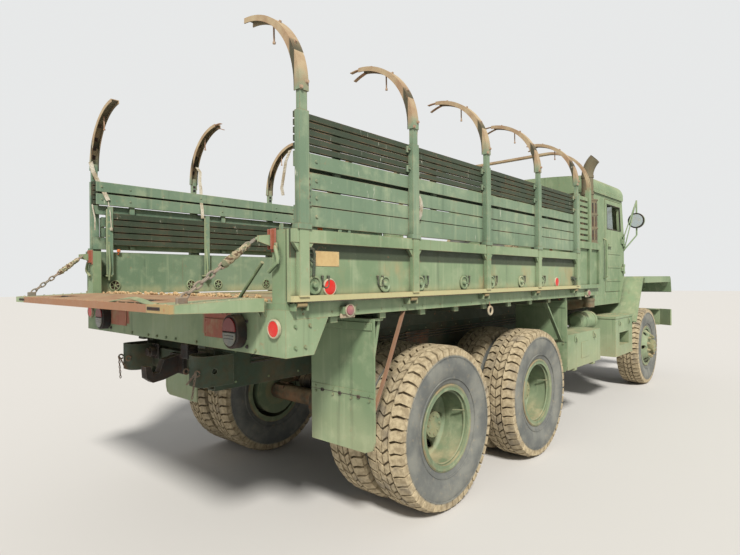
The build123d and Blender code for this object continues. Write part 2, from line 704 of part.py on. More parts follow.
# Spare wheel standing across the truck behind the cab, on its carrier
SPARE_X = 3060.0
SPARE_Y = 330.0
SPARE_Z = RAIL_BOTTOM + RAIL_H + 45 + TYRE_R
with BuildPart() as spare_wheel:
    spare_plane = Plane(origin=(SPARE_X - MIDDLE, SPARE_Y, SPARE_Z), x_dir=(1, 0, 0), z_dir=(0, -1, 0))
    half_w = TYRE_W / 2
    with BuildSketch(spare_plane):
        with BuildLine():
            Polyline(
                (-half_w + 25, BEAD_R),
                (-half_w, TYRE_R - 150),
                (-half_w + 25, TYRE_R - 18),
                (-half_w + 50, TYRE_R),
                (half_w - 50, TYRE_R),
                (half_w - 25, TYRE_R - 18),
                (half_w, TYRE_R - 150),
                (half_w - 25, BEAD_R),
                close=True,
            )
        make_face()
        with BuildLine():
            Polyline(
                (-100, BEAD_R),
                (-100, 238),
                (-60, 238),
                (40, 165),
                (40, 80),
                (54, 80),
                (54, 170),
                (100, 238),
                (100, BEAD_R),
                close=True,
            )
        make_face()
    revolve(axis=Axis((SPARE_X - MIDDLE, SPARE_Y, SPARE_Z), (1, 0, 0)))
    block((SPARE_X - 45, SPARE_X + 39.5), (SPARE_Y - 130, SPARE_Y + 130), (SPARE_Z - 60, SPARE_Z + 60))
    block((SPARE_X - 45, SPARE_X - 15), (SPARE_Y - 60, SPARE_Y + 60), (RAIL_BOTTOM + RAIL_H + 40, SPARE_Z))
    block(
        (SPARE_X - 130, SPARE_X + 130),
        (-RAIL_OUT, RAIL_OUT + 250),
        (RAIL_BOTTOM + RAIL_H + RUN_FIT, RAIL_BOTTOM + RAIL_H + 45),
    )
finish(spare_wheel, "spare_wheel")

# Cargo floor: plate, rub rails along its edges, cross bearers and two long sills
BEARER_BOTTOM = FLOOR_TOP - FLOOR_T - BEARER_H
SILL_Y = (352.0, 428.0)
BEARERS = 11
LUG_D = 36.0                # how far the hinge lugs of the drop sides stand out
SIDE_HINGE_Y = BED_HALF + 31.0
SIDE_HINGE_Z = FLOOR_TOP - 5.0
rib_stations = [RIB_FIRST + index * RIB_PITCH for index in range(RIB_COUNT)]
with BuildPart() as bed_floor:
    block((BED_REAR, BED_FRONT), (-BED_HALF, BED_HALF), (FLOOR_TOP - FLOOR_T, FLOOR_TOP))
    for side in (1, -1):
        block(
            (BED_REAR + 45, BED_FRONT),
            (side * (BED_HALF - 24), side * BED_HALF),
            (FLOOR_TOP - RUB_RAIL_H, FLOOR_TOP - FLOOR_T),
        )
        block(
            (BED_REAR + 45, BED_FRONT),
            (side * SILL_Y[0], side * SILL_Y[1]),
            (RAIL_BOTTOM + RAIL_H + RUN_FIT, BEARER_BOTTOM),
        )
    for index in range(BEARERS):
        x = BED_REAR + 330 + index * (BED_FRONT - BED_REAR - 400) / (BEARERS - 1)
        block((x - 25, x + 25), (-BED_HALF + 24, BED_HALF - 24), (BEARER_BOTTOM, FLOOR_TOP - FLOOR_T))
    for side in (1, -1):
        for x in rib_stations:
            for shift in (-RIB_W / 2 - 14, RIB_W / 2 + 2):
                block(
                    (x + shift, x + shift + 12),
                    (side * BED_HALF, side * (SIDE_HINGE_Y + 7)),
                    (SIDE_HINGE_Z - 30, SIDE_HINGE_Z + 4),
                )
            rod(
                (x - RIB_W / 2 - 14, side * SIDE_HINGE_Y, SIDE_HINGE_Z),
                (x + RIB_W / 2 + 14, side * SIDE_HINGE_Y, SIDE_HINGE_Z),
                PIN_R,
            )
finish(bed_floor, "bed_floor")

# Front wall of the bed, the two fixed side bays beside it and the full bow above it
BAY_TOP = FLOOR_TOP + BAY_H
WALL_T = 40.0
BOW_SPRING_Z = BOW_TOP - BOW_R * math.sin(math.radians(BOW_REACH))
FULL_BOW_X = 2520.0
BAY_SLATS = 8
BAY_SLAT_PITCH = 56.0
with BuildPart() as bed_front:
    block((BED_FRONT - WALL_T, BED_FRONT), (-BED_HALF, BED_HALF), (FLOOR_TOP + RUN_FIT, BAY_TOP))
    for index in range(6):
        y = -BED_HALF + 150 + index * (2 * BED_HALF - 300) / 5
        block((BED_FRONT, BED_FRONT + 18), (y - 30, y + 30), (FLOOR_TOP + 20, BAY_TOP - 10))
    for side in (1, -1):
        out = side * (BED_HALF + SIDE_T)
        block(
            (SIDE_FRONT + DOOR_GAP, BED_FRONT),
            (side * (BED_HALF - 10), side * (BED_HALF + 8)),
            (FLOOR_TOP + RUN_FIT, BAY_TOP),
        )
        block(
            (SIDE_FRONT + DOOR_GAP, BED_FRONT),
            (side * (BED_HALF - 10), out),
            (BAY_TOP - 70, BAY_TOP),
        )
        block(
            (SIDE_FRONT + DOOR_GAP, BED_FRONT),
            (side * (BED_HALF - 10), out),
            (FLOOR_TOP + RUN_FIT, FLOOR_TOP + 40),
        )
        for x in (SIDE_FRONT + DOOR_GAP, FULL_BOW_X, BED_FRONT - 60):
            block((x, x + 60), (side * (BED_HALF - 10), out), (FLOOR_TOP + RUN_FIT, BAY_TOP))
        block((FULL_BOW_X, FULL_BOW_X + 60), (side * (BED_HALF - 10), out), (BAY_TOP, BOW_SPRING_Z))
        slats_top = BAY_TOP + BAY_SLATS * BAY_SLAT_PITCH + 10
        block(
            (SIDE_FRONT + DOOR_GAP, SIDE_FRONT + DOOR_GAP + 60),
            (side * (BED_HALF - 10), out),
            (BAY_TOP, slats_top),
        )
        for index in range(BAY_SLATS):
            z = BAY_TOP + 20 + index * BAY_SLAT_PITCH
            block(
                (SIDE_FRONT + DOOR_GAP + 30, FULL_BOW_X + 30),
                (side * BED_HALF, side * (BED_HALF + 18)),
                (z, z + 36),
            )
    for x in (FULL_BOW_X, FULL_BOW_X + 40):
        outer_y = BED_HALF + SIDE_T
        inner_y = outer_y - BOW_R
        crown = BOW_SPRING_Z + BOW_R
        with BuildSketch(cross_plane(x)):
            with BuildLine():
                Line((-outer_y, BOW_SPRING_Z), (-outer_y + BOW_BAR, BOW_SPRING_Z))
                RadiusArc((-outer_y + BOW_BAR, BOW_SPRING_Z), (-inner_y, crown - BOW_BAR), BOW_R - BOW_BAR)
                Line((-inner_y, crown - BOW_BAR), (inner_y, crown - BOW_BAR))
                RadiusArc((inner_y, crown - BOW_BAR), (outer_y - BOW_BAR, BOW_SPRING_Z), BOW_R - BOW_BAR)
                Line((outer_y - BOW_BAR, BOW_SPRING_Z), (outer_y, BOW_SPRING_Z))
                RadiusArc((outer_y, BOW_SPRING_Z), (inner_y, crown), -BOW_R)
                Line((inner_y, crown), (-inner_y, crown))
                RadiusArc((-inner_y, crown), (-outer_y, BOW_SPRING_Z), -BOW_R)
            make_face()
        extrude(amount=20)
finish(bed_front, "bed_front")

# Rear sill with its side cheeks, the corner posts and the eyes that the gate chains hang from
GATE_HINGES = (300.0, 700.0, 1040.0)
GATE_PIN_X = BED_REAR - GATE_PIN_BACK
GATE_END = GATE_PIN_X - GATE_L
EYE_Z = 1700.0
EYE_X = BED_REAR - GATE_PIN_BACK - 60
CHAIN_Y = 1094.0
SILL_BOTTOM = 1147.0
POST_IN = GATE_HALF + 14.0
with BuildPart() as rear_sill:
    block(
        (BED_REAR, BED_REAR + 45 - RUN_FIT),
        (-BED_HALF, BED_HALF),
        (SILL_BOTTOM, FLOOR_TOP - FLOOR_T - RUN_FIT),
    )
    for side in (1, -1):
        prism(
            (
                (BED_REAR + 40, SILL_BOTTOM),
                (BED_REAR + 172, SILL_BOTTOM),
                (BED_REAR + 268, FLOOR_TOP - RUB_RAIL_H - RUN_FIT),
                (BED_REAR + 40, FLOOR_TOP - RUB_RAIL_H - RUN_FIT),
            ),
            side * (BED_HALF - 30),
            side * BED_HALF,
        )
        block(
            (BED_REAR, BED_REAR + POST_W - 14),
            (side * POST_IN, side * BED_HALF),
            (FLOOR_TOP + RUN_FIT, FLOOR_TOP + SIDE_H),
        )
        prism(
            (
                (BED_REAR + 5, EYE_Z + 25),
                (BED_REAR + 5, EYE_Z - 40),
                (EYE_X - 12, EYE_Z - 14),
                (EYE_X - 12, EYE_Z + 14),
            ),
            side * (POST_IN + 12),
            side * (POST_IN + 24),
        )
        ring(EYE_X, side * (POST_IN + 12), side * (GATE_HALF + 5.5), EYE_Z, 9)
    for side in (1, -1):
        for y in GATE_HINGES:
            for shift in (-28, 16):
                prism(
                    (
                        (BED_REAR + 10, FLOOR_TOP - 90),
                        (BED_REAR + 10, FLOOR_TOP - FLOOR_T - RUN_FIT),
                        (BED_REAR - RUN_FIT, FLOOR_TOP - FLOOR_T - RUN_FIT),
                        (BED_REAR - RUN_FIT, FLOOR_TOP + 8),
                        (GATE_PIN_X - 8, FLOOR_TOP + 8),
                        (GATE_PIN_X - 8, FLOOR_TOP - 20),
                    ),
                    side * y + shift,
                    side * y + shift + 12,
                )
            rod((GATE_PIN_X, side * y - 28, FLOOR_TOP), (GATE_PIN_X, side * y + 28, FLOOR_TOP), GATE_PIN_R)
finish(rear_sill, "rear_sill")

# Lamps: tail lamps and reflectors on the sill, markers below the bed, headlamps at the front
LAMPS = (
    # station of the back face, Y, height, radius, length towards the rear
    (BED_REAR - RUN_FIT, 840.0, 1240.0, 62.0, 55.0),
    (BED_REAR - RUN_FIT, 1138.0, 1280.0, 42.0, 12.0),
)
HEADLAMP_X = 6165.0
HEADLAMP_Y = 800.0
HEADLAMP_Z = 1390.0
with BuildPart() as lamps:
    for side in (1, -1):
        for x, y, z, radius, length in LAMPS:
            rod((x, side * y, z), (x - length, side * y, z), radius)
        for x in (-950.0, 2500.0):
            block((x - 45, x + 45), (side * (BED_HALF + RUN_FIT), side * (BED_HALF + 24)), (1334, 1372))
        lamp_origin = (HEADLAMP_X - MIDDLE, side * HEADLAMP_Y, HEADLAMP_Z)
        with BuildSketch(Plane(origin=lamp_origin, x_dir=(1, 0, 0), z_dir=(0, -1, 0))):
            with BuildLine():
                Polyline((0, 0), (75, 0), (70, 60), (60, 92), (25, 92), (0, 50), close=True)
            make_face()
        revolve(axis=Axis(lamp_origin, (1, 0, 0)))
finish(lamps, "lamps")

# Mud flaps before and behind the rear wheels, each held by a slanted brace
FLAP_Y = (690.0, 1205.0)
FLAP_T = 12.0
FLAPS = (
    # station, bottom height, station of the brace's top, end of the hanger under a bearer
    (-730.0, 540.0, -640.0, -620.0),
    (2005.0, 600.0, 1650.0, 2040.0),
)
with BuildPart() as mudflaps:
    flap_top = BEARER_BOTTOM - RUN_FIT
    for side in (1, -1):
        for x, bottom, foot, hanger_end in FLAPS:
            with BuildSketch(cross_plane(x)):
                with BuildLine():
                    Polyline(
                        (side * FLAP_Y[0], bottom),
                        (side * (FLAP_Y[1] - 70), bottom),
                        (side * (FLAP_Y[1] - 20), bottom + 20),
                        (side * FLAP_Y[1], bottom + 70),
                        (side * FLAP_Y[1], flap_top),
                        (side * FLAP_Y[0], flap_top),
                        close=True,
                    )
                make_face()
            extrude(amount=FLAP_T)
            block(
                (x, hanger_end),
                (side * (FLAP_Y[0] + 10), side * (FLAP_Y[1] - 25)),
                (flap_top - 14, flap_top),
            )
            y_brace = side * (FLAP_Y[1] - 60)
            prism(
                ((foot, flap_top), (foot + 24, flap_top), (x + 22, 900), (x + 2, 900)),
                y_brace - 15,
                y_brace + 15,
            )
finish(mudflaps, "mudflaps")

# Cab shell: floor, toe board, rear wall, side posts and windscreen frame
TOE_LINE = ((4330.0, CAB_BOTTOM), (CAB_FRONT, 1493.0))
SCREEN_TOP_X = CAB_FRONT - 75
DOOR_OUTLINE = (
    (DOOR_REAR, DOOR_BOTTOM),
    (4340.0, DOOR_BOTTOM),
    (DOOR_FRONT, 1500.0),
    (DOOR_FRONT, CAB_BELT + 20),
    (DOOR_FRONT - 55, DOOR_TOP),
    (DOOR_REAR, DOOR_TOP),
)
DOOR_OPENING = (
    (DOOR_REAR - DOOR_GAP, DOOR_BOTTOM - DOOR_GAP),
    (4340.0 + DOOR_GAP, DOOR_BOTTOM - DOOR_GAP),
    (DOOR_FRONT + DOOR_GAP, 1500.0 - DOOR_GAP),
    (DOOR_FRONT + DOOR_GAP, CAB_BELT + 20),
    (DOOR_FRONT - 55 + DOOR_GAP, DOOR_TOP + DOOR_GAP),
    (DOOR_REAR - DOOR_GAP, DOOR_TOP + DOOR_GAP),
)
DOOR_HINGE_X = DOOR_FRONT + DOOR_GAP
DOOR_HINGE_Y = CAB_HALF + 16.0
DOOR_HINGES = (1620.0, 1980.0)
DOOR_KNUCKLE_R = 12.0       # inside the sweep of the door's front edge
LEAF_L = 45.0
LEAF_H = 30.0
with BuildPart() as cab_shell:
    prism(
        (
            (CAB_REAR, CAB_BOTTOM),
            TOE_LINE[0],
            TOE_LINE[1],
            (CAB_FRONT, CAB_BELT),
            (SCREEN_TOP_X, CAB_HEAD),
            (CAB_REAR, CAB_HEAD),
        ),
        -CAB_HALF,
        CAB_HALF,
    )
    prism(
        (
            (CAB_REAR + CAB_WALL, CAB_BOTTOM + CAB_WALL),
            (TOE_LINE[0][0] - 12, CAB_BOTTOM + CAB_WALL),
            (TOE_LINE[1][0] - CAB_WALL, TOE_LINE[1][1] + 6),
            (CAB_FRONT - CAB_WALL, CAB_BELT),
            (SCREEN_TOP_X - CAB_WALL, CAB_HEAD + 1),
            (CAB_REAR + CAB_WALL, CAB_HEAD + 1),
        ),
        -CAB_HALF + CAB_WALL,
        CAB_HALF - CAB_WALL,
        mode=Mode.SUBTRACT,
    )
    prism(DOOR_OPENING, -CAB_HALF - 1, CAB_HALF + 1, mode=Mode.SUBTRACT)
    for side in (1, -1):
        block(
            (CAB_FRONT - 200, CAB_FRONT + 1),
            (side * 45, side * 880),
            (CAB_BELT + 60, CAB_HEAD - 55),
            mode=Mode.SUBTRACT,
        )
    block((CAB_REAR - 1, CAB_REAR + CAB_WALL + 1), (-400, 400), (2120, 2430), mode=Mode.SUBTRACT)
    for side in (1, -1):
        for z in DOOR_HINGES:
            for z0 in (z - LEAF_H - 32, z + 32):
                with BuildSketch(level_plane(z0)) as leaf:
                    with Locations((DOOR_HINGE_X, side * DOOR_HINGE_Y)):
                        Circle(DOOR_KNUCKLE_R)
                    with Locations((DOOR_HINGE_X + LEAF_L / 2, side * (CAB_HALF + DOOR_HINGE_Y) / 2)):
                        Rectangle(LEAF_L, DOOR_HINGE_Y - CAB_HALF + DOOR_KNUCKLE_R)
                extrude(leaf.sketch, amount=LEAF_H)
            pin_y = side * DOOR_HINGE_Y
            rod((DOOR_HINGE_X, pin_y, z - 62), (DOOR_HINGE_X, pin_y, z + 62), PIN_R)
    for x, y in ((CAB_REAR + 60, 300), (4240.0, 300)):
        for side in (1, -1):
            block(
                (x, x + 90),
                (side * 352, side * 425),
                (RAIL_BOTTOM + RAIL_H + RUN_FIT, CAB_BOTTOM),
            )
finish(cab_shell, "cab_shell")

# Cab roof: one arched shell with rounded shoulders
ROOF_REAR = CAB_REAR - 15
ROOF_FRONT = SCREEN_TOP_X + 25


def roof_outline(half, bottom, top, shoulder):
    """Draws the arch of the roof across the cab: low walls, round shoulders, a crowned top."""
    side_top = top - shoulder - 45
    with BuildLine() as arch:
        Line((-half, bottom), (half, bottom))
        Line((half, bottom), (half, side_top))
        ThreePointArc(
            (half, side_top),
            (half - 0.29 * shoulder, side_top + 0.71 * shoulder),
            (half - shoulder, side_top + shoulder),
        )
        ThreePointArc((half - shoulder, side_top + shoulder), (0, top), (-half + shoulder, side_top + shoulder))
        ThreePointArc(
            (-half + shoulder, side_top + shoulder),
            (-half + 0.29 * shoulder, side_top + 0.71 * shoulder),
            (-half, side_top),
        )
        Line((-half, side_top), (-half, bottom))
    make_face(arch.line.edges())


with BuildPart() as cab_roof:
    with BuildSketch(cross_plane(ROOF_REAR)):
        roof_outline(CAB_HALF + 8, CAB_HEAD + RUN_FIT, CAB_TOP, 150.0)
    extrude(amount=ROOF_FRONT - ROOF_REAR)
    with BuildSketch(cross_plane(ROOF_REAR + CAB_WALL)):
        roof_outline(CAB_HALF - 32, CAB_HEAD, CAB_TOP - 40, 120.0)
    extrude(amount=ROOF_FRONT - ROOF_REAR - 2 * CAB_WALL, mode=Mode.SUBTRACT)
finish(cab_roof, "cab_roof")

# Glass: two windscreen panes leaning with their frame, and the rear window
GLASS_T = 6.0
with BuildPart() as cab_glass:
    slope = (SCREEN_TOP_X - CAB_FRONT) / (CAB_HEAD - CAB_BELT)
    low = CAB_BELT + 60 + RUN_FIT
    high = CAB_HEAD - 55 - RUN_FIT
    x_low = CAB_FRONT - 20 + slope * (low - CAB_BELT)
    x_high = CAB_FRONT - 20 + slope * (high - CAB_BELT)
    for side in (1, -1):
        prism(
            ((x_low, low), (x_low - GLASS_T, low), (x_high - GLASS_T, high), (x_high, high)),
            side * (45 + RUN_FIT),
            side * (880 - RUN_FIT),
        )
    block(
        (CAB_REAR + 17, CAB_REAR + 17 + GLASS_T),
        (-400 + RUN_FIT, 400 - RUN_FIT),
        (2120 + RUN_FIT, 2430 - RUN_FIT),
    )
finish(cab_glass, "cab_glass")

# Seats, dashboard and steering wheel
CAB_FLOOR = CAB_BOTTOM + CAB_WALL
SEATS = (
    # Y of the middle, width
    (560.0, 480.0),
    (-420.0, 820.0),
)
with BuildPart() as cab_seats:
    for y, width in SEATS:
        block((3540, 3930), (y - width / 2 + 40, y + width / 2 - 40), (CAB_FLOOR + RUN_FIT, 1500))
        prism(
            (
                (3480, 1500),
                (3990, 1500),
                (4000, 1590),
                (3960, 1610),
                (3590, 1600),
                (3500, 2080),
                (3430, 2080),
                (3450, 1560),
            ),
            y - width / 2,
            y + width / 2,
        )
finish(cab_seats, "cab_seats")

STEER_WHEEL = (4160.0, 560.0, 1930.0)
with BuildPart() as dashboard:
    prism(
        (
            (CAB_FRONT - CAB_WALL - RUN_FIT, 1800),
            (CAB_FRONT - CAB_WALL - RUN_FIT, CAB_BELT - 20),
            (4330, CAB_BELT - 20),
            (4290, 1960),
            (4340, 1800),
        ),
        -CAB_HALF + CAB_WALL + 12,
        CAB_HALF - CAB_WALL - 12,
    )
    rod((4380, STEER_WHEEL[1], 1850), STEER_WHEEL, 24)
    column_dir = Vector(4380 - STEER_WHEEL[0], 0, 1850 - STEER_WHEEL[2])
    rim_plane = Plane(
        origin=(STEER_WHEEL[0] - MIDDLE, STEER_WHEEL[1], STEER_WHEEL[2]),
        x_dir=(0, 1, 0),
        z_dir=column_dir,
    )
    with BuildSketch(rim_plane):
        Circle(225)
        Circle(200, mode=Mode.SUBTRACT)
        for angle in (90, 210, 330):
            with Locations(Rotation(0, 0, angle)):
                with Locations((105, 0)):
                    Rectangle(210, 26)
        Circle(45)
    extrude(amount=-24)
finish(dashboard, "dashboard")

# Front fenders: flat top, turned-down nose, slanted rear plate, and the inner splash plates
with BuildPart() as fenders:
    for side in (1, -1):
        with BuildSketch(side_plane(max(side * FENDER_IN, side * FENDER_OUT))):
            with BuildLine() as fender_line:
                FilletPolyline(
                    (4250, 950),
                    (4595, FENDER_TOP),
                    (6090, FENDER_TOP),
                    (6140, 1290),
                    radius=55,
                )
                offset(amount=FENDER_T / 2)
            make_face()
        extrude(amount=FENDER_OUT - FENDER_IN)
        block(
            (4620, 6080),
            (side * FENDER_IN, side * (FENDER_IN + 14)),
            (RAIL_BOTTOM + RAIL_H - 10, FENDER_TOP - 5),
        )
        block((4660, 6060), (side * (FENDER_OUT - 16), side * FENDER_OUT), (FENDER_TOP - 75, FENDER_TOP))
        for x in (4680.0, 5900.0):
            block(
                (x, x + 60),
                (side * (RAIL_OUT + RUN_FIT), side * (FENDER_IN + 5)),
                (RAIL_BOTTOM + RAIL_H - 10, RAIL_BOTTOM + RAIL_H + 20),
            )
        block(
            (6110, HEADLAMP_X - RUN_FIT),
            (side * (HEADLAMP_Y - 60), side * (HEADLAMP_Y + 60)),
            (HEADLAMP_Z - 50, HEADLAMP_Z + 50),
        )
finish(fenders, "fenders")

# Mirrors: round heads on upright tubes, each stayed by three legs from the windscreen pillar
MIRROR_X = 4600.0
MIRROR_Y = 1138.0
MIRROR_Z = 2260.0
MIRROR_R = 100.0
MIRROR_BAR_Z = (2070.0, 2528.0)
with BuildPart() as mirrors:
    for side in (1, -1):
        root = side * (CAB_HALF + RUN_FIT)
        low = (MIRROR_X, side * MIRROR_Y, MIRROR_BAR_Z[0])
        high = (MIRROR_X, side * MIRROR_Y, MIRROR_BAR_Z[1])
        block((4499, 4519), (root, root + side * 12), (1860, 2078))
        rod((4509, root + side * 10, 2064), high, 7)
        rod((4509, root + side * 10, 1890), high, 7)
        rod((4509, root + side * 10, 1880), low, 9)
        rod(low, high, 10)
        rod(
            (MIRROR_X + 8, side * MIRROR_Y, MIRROR_Z),
            (MIRROR_X - 30, side * MIRROR_Y, MIRROR_Z),
            MIRROR_R,
        )
finish(mirrors, "mirrors")

# Hood: a lofted shell that tips forward, with the grille in its nose
HOOD_SECTIONS = (
    # station, half width, top
    (CAB_FRONT + 12, HOOD_HALF_REAR, HOOD_TOP_REAR),
    (HOOD_FRONT, HOOD_HALF_FRONT, HOOD_TOP_FRONT),
)
SHOULDER_R = 95.0
GRILLE_BARS = 12
with BuildPart() as hood:
    for wall, mode in ((0.0, Mode.ADD), (HOOD_T, Mode.SUBTRACT)):
        for x, half, top in HOOD_SECTIONS:
            station = x - 1 if x < HOOD_FRONT and wall else x
            if x == HOOD_FRONT:
                station = x - wall
            bottom = HOOD_BOTTOM - wall
            with BuildSketch(cross_plane(station)) as hood_section:
                with Locations((0, (top - wall + bottom) / 2)):
                    Rectangle(2 * (half - wall), top - wall - bottom)
                fillet(hood_section.vertices().group_by(Axis.Y)[-1], radius=SHOULDER_R - wall)
        loft(mode=mode)
    block((HOOD_FRONT - HOOD_T - 1, HOOD_FRONT + 1), (-430, 430), (1300, 1760), mode=Mode.SUBTRACT)
    for side in (1, -1):
        for index in range(7):
            x = 4760 + index * 62
            prism(
                ((x, 1560), (x + 26, 1560), (x + 26, 1760), (x, 1760)),
                side * 500,
                side * 640,
                mode=Mode.SUBTRACT,
            )
    for side in (1, -1):
        y0 = side * 300
        prism(
            (
                (HOOD_FRONT - 24, HOOD_BOTTOM + 40),
                (HOOD_FRONT, HOOD_BOTTOM + 40),
                (HOOD_FRONT + 12, HOOD_HINGE_Z - 14),
                (HOOD_FRONT - 16, HOOD_HINGE_Z - 14),
            ),
            y0 - 24,
            y0 + 24,
        )
        with BuildSketch(side_plane(y0 + 60)):
            with Locations((HOOD_FRONT, HOOD_HINGE_Z)):
                Circle(PIN_R + RUN_FIT)
        extrude(amount=120, mode=Mode.SUBTRACT)
finish(hood, "hood")

with BuildPart() as grille:
    for index in range(GRILLE_BARS):
        y = -430 + (index + 0.5) * 860 / GRILLE_BARS
        block((HOOD_FRONT - HOOD_T, HOOD_FRONT - 5), (y - 11, y + 11), (1300 + RUN_FIT, 1760 - RUN_FIT))
    for z in (1420.0, 1640.0):
        block((HOOD_FRONT - HOOD_T, HOOD_FRONT - 12), (-430 + RUN_FIT, 430 - RUN_FIT), (z - 8, z + 8))
finish(grille, "grille")

# Hinge brackets of the hood on the front ends of the rails
with BuildPart() as hood_hinges:
    for side in (1, -1):
        y0 = side * 300
        for ear_y in (-50, 24 + 3):
            prism(
                (
                    (HOOD_FRONT - 40, RAIL_BOTTOM + RAIL_H - 40),
                    (HOOD_FRONT + 30, RAIL_BOTTOM + RAIL_H - 40),
                    (HOOD_FRONT + 18, HOOD_HINGE_Z + 16),
                    (HOOD_FRONT - 18, HOOD_HINGE_Z + 16),
                ),
                y0 + ear_y,
                y0 + ear_y + 23,
            )
        ring(HOOD_FRONT, y0 - 50, y0 + 50, HOOD_HINGE_Z, PIN_R)
        block(
            (HOOD_FRONT - 40, HOOD_FRONT + 30),
            (y0 - 52, y0 + 52),
            (RAIL_BOTTOM + RAIL_H - 60, RAIL_BOTTOM + RAIL_H - 38),
        )
finish(hood_hinges, "hood_hinges")

# Doors: panels with the window cut out, an outer skin line, a handle and hinge knuckles
WINDOW_CUT = (
    (DOOR_REAR + 65, CAB_BELT + 30),
    (DOOR_FRONT - 70, CAB_BELT + 30),
    (DOOR_FRONT - 110, DOOR_TOP - 55),
    (DOOR_REAR + 65, DOOR_TOP - 55),
)
for name, side in SIDES:
    with BuildPart() as door:
        prism(DOOR_OUTLINE, side * (CAB_HALF + 3 - DOOR_T), side * (CAB_HALF + 3))
        prism(WINDOW_CUT, side * (CAB_HALF - 80), side * (CAB_HALF + 20), mode=Mode.SUBTRACT)
        block(
            (DOOR_REAR + 50, DOOR_REAR + 190),
            (side * (CAB_HALF + 2), side * (CAB_HALF + 30)),
            (1890, 1915),
        )
        for z in DOOR_HINGES:
            with BuildSketch(level_plane(z - 30)):
                with Locations((DOOR_HINGE_X, side * DOOR_HINGE_Y)):
                    Circle(14)
                with Locations((DOOR_HINGE_X - 40, side * (CAB_HALF + 9))):
                    Rectangle(80, 14)
                with Locations((DOOR_HINGE_X, side * DOOR_HINGE_Y)):
                    Circle(PIN_R + RUN_FIT, mode=Mode.SUBTRACT)
            extrude(amount=60)
    finish(door, f"door_{name}")

# Tailgate: a tapered panel that stands out level, ribbed below, on pins along the sill
GATE_ROOT = GATE_PIN_X - GATE_KNUCKLE_R - 1
GATE_CROWN = 25.0           # top of the gate above the hinge line, at its root
GATE_TIP_CROWN = 10.0
with BuildPart() as tailgate:
    prism(
        (
            (GATE_ROOT, FLOOR_TOP + GATE_CROWN),
            (GATE_END, FLOOR_TOP + GATE_TIP_CROWN),
            (GATE_END, FLOOR_TOP + GATE_TIP_CROWN - GATE_TIP_T),
            (GATE_ROOT, FLOOR_TOP + GATE_CROWN - GATE_T),
        ),
        -GATE_HALF,
        GATE_HALF,
    )
    for side in (1, -1):
        block(
            (GATE_END + 90, GATE_END + 210),
            (side * 480, side * 700),
            (FLOOR_TOP - 60, FLOOR_TOP + 40),
            mode=Mode.SUBTRACT,
        )
        for y in GATE_HINGES:
            with BuildSketch(side_plane(side * y + 14)):
                with Locations((GATE_PIN_X, FLOOR_TOP)):
                    Circle(GATE_KNUCKLE_R)
                with Locations((GATE_PIN_X - 14, FLOOR_TOP)):
                    Rectangle(28, 20)
                with Locations((GATE_PIN_X, FLOOR_TOP)):
                    Circle(GATE_PIN_R + RUN_FIT, mode=Mode.SUBTRACT)
            extrude(amount=28)
finish(tailgate, "tailgate")

# Chains of the tailgate: an ear on the gate, the chain, and a cloth sleeve on its upper half
CHAIN_LOW = (GATE_END + 80, 1050.0, FLOOR_TOP + 34)
EAR_HALF = 25.0
gate_rise = (GATE_CROWN - GATE_TIP_CROWN) / (GATE_ROOT - GATE_END)
ear_seat = FLOOR_TOP + GATE_TIP_CROWN + gate_rise * (80 + EAR_HALF) + RUN_FIT
CHAIN_R = 7.0
SLEEVE_R = 20.0
SLEEVE_END = 0.78           # share of the chain below the eye where its sleeve ends
with BuildPart() as gate_chains:
    for side in (1, -1):
        low = (CHAIN_LOW[0], side * CHAIN_LOW[1], CHAIN_LOW[2])
        high = (EYE_X, side * CHAIN_Y, EYE_Z)
        mid = tuple(0.45 * a + 0.55 * b for a, b in zip(low, high))
        block((low[0] - EAR_HALF, low[0] + EAR_HALF), (low[1] - 8, low[1] + 8), (ear_seat, low[2] + 8))
        rod(low, high, CHAIN_R)
        rod(mid, tuple((1 - SLEEVE_END) * a + SLEEVE_END * b for a, b in zip(low, high)), SLEEVE_R)
finish(gate_chains, "gate_chains")

